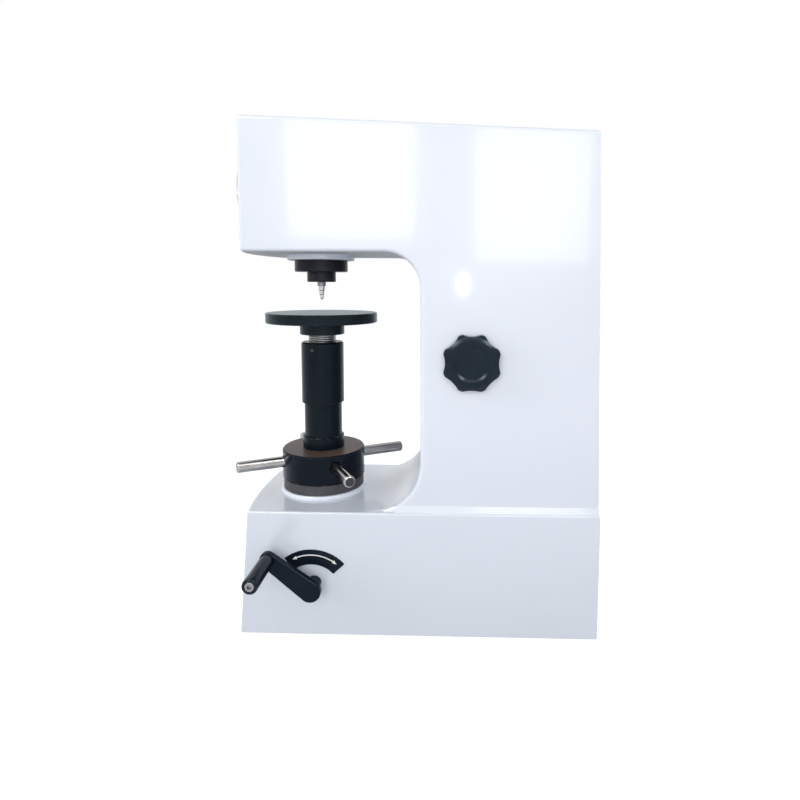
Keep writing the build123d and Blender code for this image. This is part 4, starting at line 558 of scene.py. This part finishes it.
# two-start thread that shows between the table's hub and the sleeve
NECK_R, NECK_WALL = 18.0, 1.0
THREAD_LEAD, THREAD_STARTS, THREAD_HIGH, THREAD_FLANK = 6.0, 2, 0.55, 2.2
THREAD_ROWS, THREAD_SIDES = 44, 96
neck_foot = mm_box("upper_sleeve")[1].z
neck_top = mm_box("anvil_table")[0].z
verts = []
for k in range(THREAD_SIDES):
    a = 2 * math.pi * k / THREAD_SIDES
    for i in range(THREAD_ROWS + 1):
        z = neck_foot + (neck_top - neck_foot) * i / THREAD_ROWS
        phase = (z / THREAD_LEAD - k / THREAD_SIDES) * THREAD_STARTS % 1.0
        r = NECK_R + THREAD_HIGH * min(1.0, THREAD_FLANK * (1 - abs(2 * phase - 1)))
        verts.append((r * math.sin(a), r * math.cos(a), z))
    r = NECK_R - NECK_WALL
    verts += [(r * math.sin(a), r * math.cos(a), z) for z in (neck_top, neck_foot)]
piece("screw_neck_thread", verts, around(THREAD_SIDES, THREAD_ROWS + 3), "screw_steel", "screw_body", 40.0)

# cover screws: heads with a cross recess, flush in the top cover and domed on the rear one
SCREW_R, SCREW_SKIRT = 3.2, 1.28               # radius, and depth of the side below the rim
CROWN_POWER = 2.6                              # how late the crown falls off towards the rim
TOP_RISE, REAR_RISE = 0.05, 1.2                # crown over rim
RECESS_HALF, RECESS_REACH, RECESS_DEEP = 0.45, 1.75, 1.1
RECESS_SIDE, RECESS_END = 0.15, 0.2            # its sloping walls
RECESS_SHALLOW = 0.35                          # share of its depth that is lost at the tips
SCREW_RINGS, SCREW_SIDES = 16, 48
HEAD_SPREAD, ALIGNED, SAME_FACE = 9.0, 0.95, 0.05              # how the CAD heads' outer faces are found


def heads(node, rough):
    """(centre, outward) of each screw head's outer face that looks roughly along a direction."""
    mesh = nodes[node].data
    flats = [p for p in mesh.polygons if p.normal.dot(rough) > ALIGNED]
    found = []
    for poly in sorted(flats, key=lambda p: -p.center.dot(rough)):
        at = poly.center / MM
        near = next((h for h in found if (h[0][0] - at).length < HEAD_SPREAD), None)
        if near is None:
            found.append([[at], poly.normal.copy()])
        elif abs((at - near[0][0]).dot(near[1])) < SAME_FACE:
            near[0].append(at)
    return [(sum(points, Vector()) / len(points), outward) for points, outward in found]


def head_surface(u, v, rise):
    """Height of a screw head's top over its crown, at a place across the head."""
    crown = -rise * (math.hypot(u, v) / SCREW_R) ** CROWN_POWER
    long, short = max(abs(u), abs(v)), min(abs(u), abs(v))
    side = min(1.0, max(0.0, (RECESS_HALF - short) / RECESS_SIDE))
    end = min(1.0, max(0.0, (RECESS_REACH - long) / RECESS_END))
    return crown - RECESS_DEEP * (side * end) * (1 - RECESS_SHALLOW * long / RECESS_REACH)


def screw_head(centre, outward, rise):
    """Round head, its crown at centre, rise high over its rim, with a cross recess."""
    side = Vector((1, 0, 0))
    other = outward.cross(side).normalized()
    verts = [centre + outward * head_surface(0, 0, rise)]
    for i in range(1, SCREW_RINGS + 1):
        r = SCREW_R * i / SCREW_RINGS
        for k in range(SCREW_SIDES):
            u, v = r * math.cos(2 * math.pi * k / SCREW_SIDES), r * math.sin(2 * math.pi * k / SCREW_SIDES)
            verts.append(centre + side * u + other * v + outward * head_surface(u, v, rise))
    rim = 1 + (SCREW_RINGS - 1) * SCREW_SIDES
    verts += [v - outward * SCREW_SKIRT for v in verts[rim:]]
    faces = [(0, 1 + k, 1 + (k + 1) % SCREW_SIDES) for k in range(SCREW_SIDES)]
    for i in range(SCREW_RINGS):
        low, high = 1 + i * SCREW_SIDES, 1 + (i + 1) * SCREW_SIDES
        for k in range(SCREW_SIDES):
            n = (k + 1) % SCREW_SIDES
            faces.append((low + k, high + k, high + n, low + n))
    faces.append(tuple(range(1 + SCREW_RINGS * SCREW_SIDES, 1 + (SCREW_RINGS + 1) * SCREW_SIDES)))
    return [tuple(v) for v in verts], faces


for node, rough, rise in (("top_cover_screws", Vector((0, 0, 1)), TOP_RISE),
                          ("rear_cover_screws", Vector((0, 1, 0)), REAR_RISE)):
    tops = [screw_head(*place, rise) for place in heads(node, rough)]
    screws = piece(node.replace("screws", "screw_heads"), *joined(tops), "zinc", "frame", 30.0)
    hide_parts(node)

# small counter left of the dial's centre: a pointer on its own staff inside a printed circle
SHORT_X = -17.0
SHORT_LONG, SHORT_TAIL, SHORT_ROOT, SHORT_TIP = 8.0, 2.6, 0.6, 0.3
SHORT_LIFT, SHORT_THICK = 0.5, 0.35
HUB_SECTION = [(0.45, 0.3), (0.45, 1.5), (1.3, 1.3), (1.3, 0.3)]        # (depth in front of the dial, radius)
SHORT_RING = (10.6, 10.2)
hand = [(-SHORT_ROOT, -SHORT_TAIL), (SHORT_ROOT, -SHORT_TAIL)]
hand += [(SHORT_TIP, SHORT_LONG), (-SHORT_TIP, SHORT_LONG)]
piece("short_pointer", *slab(hand, lambda u, v, d: on_dial(SHORT_X + u, v, SHORT_LIFT + d), SHORT_THICK),
      "pointer_black", "frame")
piece("short_pointer_hub", *lathe(HUB_SECTION, lambda depth, u, v: on_dial(SHORT_X + u, v, depth), 32),
      "pointer_black", "frame")
piece("short_scale_line", *printed_ring(*SHORT_RING, SHORT_X), "pointer_black", "bezel_body")


# ------------------------------------------------------------ stage, light, camera
def shown_ray(tree):
    """1 for rays that show the background: camera, mirror-like and through glass."""
    path = add(tree, "ShaderNodeLightPath")
    seen = maths(tree, "MAXIMUM", path.outputs["Is Camera Ray"], path.outputs["Is Glossy Ray"])
    return maths(tree, "MAXIMUM", seen, path.outputs["Is Transmission Ray"])


def choose(tree, a, b):
    """Shader a, or b for the rays that show the background."""
    pick = add(tree, "ShaderNodeMixShader")
    tree.links.new(shown_ray(tree), pick.inputs[0])
    tree.links.new(a, pick.inputs[1])
    tree.links.new(b, pick.inputs[2])
    return pick.outputs[0]


def bench():
    """Pale floor: white to the camera apart from the object's own shadow."""
    glow_strength = 0.86
    mat, tree, shader = graph("floor_white")
    shader.inputs["Roughness"].default_value = 0.95
    shader.inputs["Specular IOR Level"].default_value = 0.0
    tint = ramp(tree, noise(tree, coords(tree), 3.0), (0.34, 0.35, 0.37), (0.36, 0.37, 0.39))
    tree.links.new(tint, shader.inputs["Base Color"])
    glow = add(tree, "ShaderNodeEmission")
    glow.inputs["Color"].default_value = (1, 1, 1, 1)
    glow.inputs["Strength"].default_value = glow_strength
    both = add(tree, "ShaderNodeAddShader")
    tree.links.new(shader.outputs[0], both.inputs[0])
    tree.links.new(glow.outputs[0], both.inputs[1])
    surface = tree.nodes["Material Output"].inputs["Surface"]
    tree.links.new(choose(tree, shader.outputs[0], both.outputs[0]), surface)
    return mat


def background(tree, colour, strength):
    node = add(tree, "ShaderNodeBackground")
    node.inputs["Color"].default_value = (*colour, 1)
    node.inputs["Strength"].default_value = strength
    return node.outputs[0]


def studio():
    """Soft bluish light from everywhere, and plain white where the background shows."""
    world = bpy.data.worlds.new("studio")
    bpy.context.scene.world = world
    world.use_nodes = True
    tree = world.node_tree
    tree.nodes.clear()
    out = add(tree, "ShaderNodeOutputWorld")
    lit, shown = background(tree, (0.92, 0.96, 1.0), 0.42), background(tree, (1, 1, 1), 1.0)
    tree.links.new(choose(tree, lit, shown), out.inputs["Surface"])


def panel(name, at, aim, size, power, colour=(1, 1, 1), shape="RECTANGLE", glossy=True, diffuse=True):
    """Soft light that the camera itself does not see, and that reflections or matt faces can be kept from."""
    lamp = bpy.data.lights.new(name, "AREA")
    lamp.shape = shape
    lamp.size, lamp.size_y = size
    lamp.energy = power
    lamp.color = colour
    obj = bpy.data.objects.new(name, lamp)
    bpy.context.scene.collection.objects.link(obj)
    obj.location = at
    obj.rotation_euler = (Vector(aim) - Vector(at)).to_track_quat("-Z", "Y").to_euler()
    obj.visible_camera = False
    obj.visible_glossy = glossy
    obj.visible_diffuse = diffuse


bpy.ops.mesh.primitive_plane_add(size=30, location=(0, 0, 0))
floor = bpy.context.object
floor.name = "floor"
floor.data.materials.append(bench())
studio()

# lamps in metres and watts: name, place, aim, size, power
WINDOW_WHITE = (1.0, 0.99, 1.0)
MIDDLE = (0.1, 0.2, 0.35)
panel("key_side", (2.2, 0.05, 0.72), (0.05, 0.12, 0.35), (1.6, 1.4), 21.0, glossy=False)
panel("window_front", (1.30, -0.153, 0.783), (0.1, 0.06, 0.56), (0.42, 0.39), 1.7, WINDOW_WHITE)
panel("window_back", (1.30, 0.436, 0.735), (0.1, 0.26, 0.55), (0.375, 0.45), 1.65, WINDOW_WHITE)
panel("key_top", (0.2, -0.6, 2.3), (0.0, 0.1, 0.4), (1.4, 1.4), 2.2, glossy=False)
panel("front_soft", (0.5, -2.2, 1.1), (0, -0.05, 0.4), (1.5, 1.5), 26, glossy=False)
panel("glint_left", (0.75, -0.62, 1.2), MIDDLE, (0.6, 0.4), 11.0, diffuse=False)
panel("glint_right", (0.75, 1.02, 1.2), MIDDLE, (0.6, 0.4), 11.0, diffuse=False)
panel("glint_top", (0.62, 0.2, 1.35), MIDDLE, (0.9, 0.3), 2.6, diffuse=False)
panel("window_low", (1.30, 0.216, 0.438), (0.1, 0.216, 0.438), (0.05, 0.08), 0.11, WINDOW_WHITE, "ELLIPSE")
panel("fill_back", (-1.7, 1.7, 1.4), (0, 0.1, 0.35), (1.6, 1.6), 34, glossy=False)

# camera: pinhole fitted to the photograph, in metres, degrees and pixels of a square picture
EYE = Vector((0.773142, 0.177360, 0.443810))
YAW, PITCH, ROLL = math.radians(-1.507), math.radians(5.061), math.radians(0.216)
PICTURE, FOCAL = 800, 568.222
CENTRE_X, CENTRE_Y = 436.641, 332.906          # where the view axis meets the picture
SENSOR = 36.0
forward = Vector((-math.cos(YAW) * math.cos(PITCH), math.sin(YAW) * math.cos(PITCH), -math.sin(PITCH)))
right = Vector((math.sin(YAW), math.cos(YAW), 0))
up = right.cross(forward)
cam_x = right * math.cos(ROLL) + up * math.sin(ROLL)
cam_y = up * math.cos(ROLL) - right * math.sin(ROLL)
cam_data = bpy.data.cameras.new("camera")
cam_data.sensor_width = SENSOR
cam_data.lens = FOCAL / PICTURE * SENSOR
cam_data.shift_x = (PICTURE / 2 - CENTRE_X) / PICTURE
cam_data.shift_y = (CENTRE_Y - PICTURE / 2) / PICTURE
cam_data.clip_start = 0.01
cam = bpy.data.objects.new("camera", cam_data)
bpy.context.scene.collection.objects.link(cam)
cam.matrix_world = Matrix.Translation(EYE) @ Matrix((cam_x, cam_y, -forward)).transposed().to_4x4()
bpy.context.scene.camera = cam
bpy.context.scene.view_settings.view_transform = "Standard"
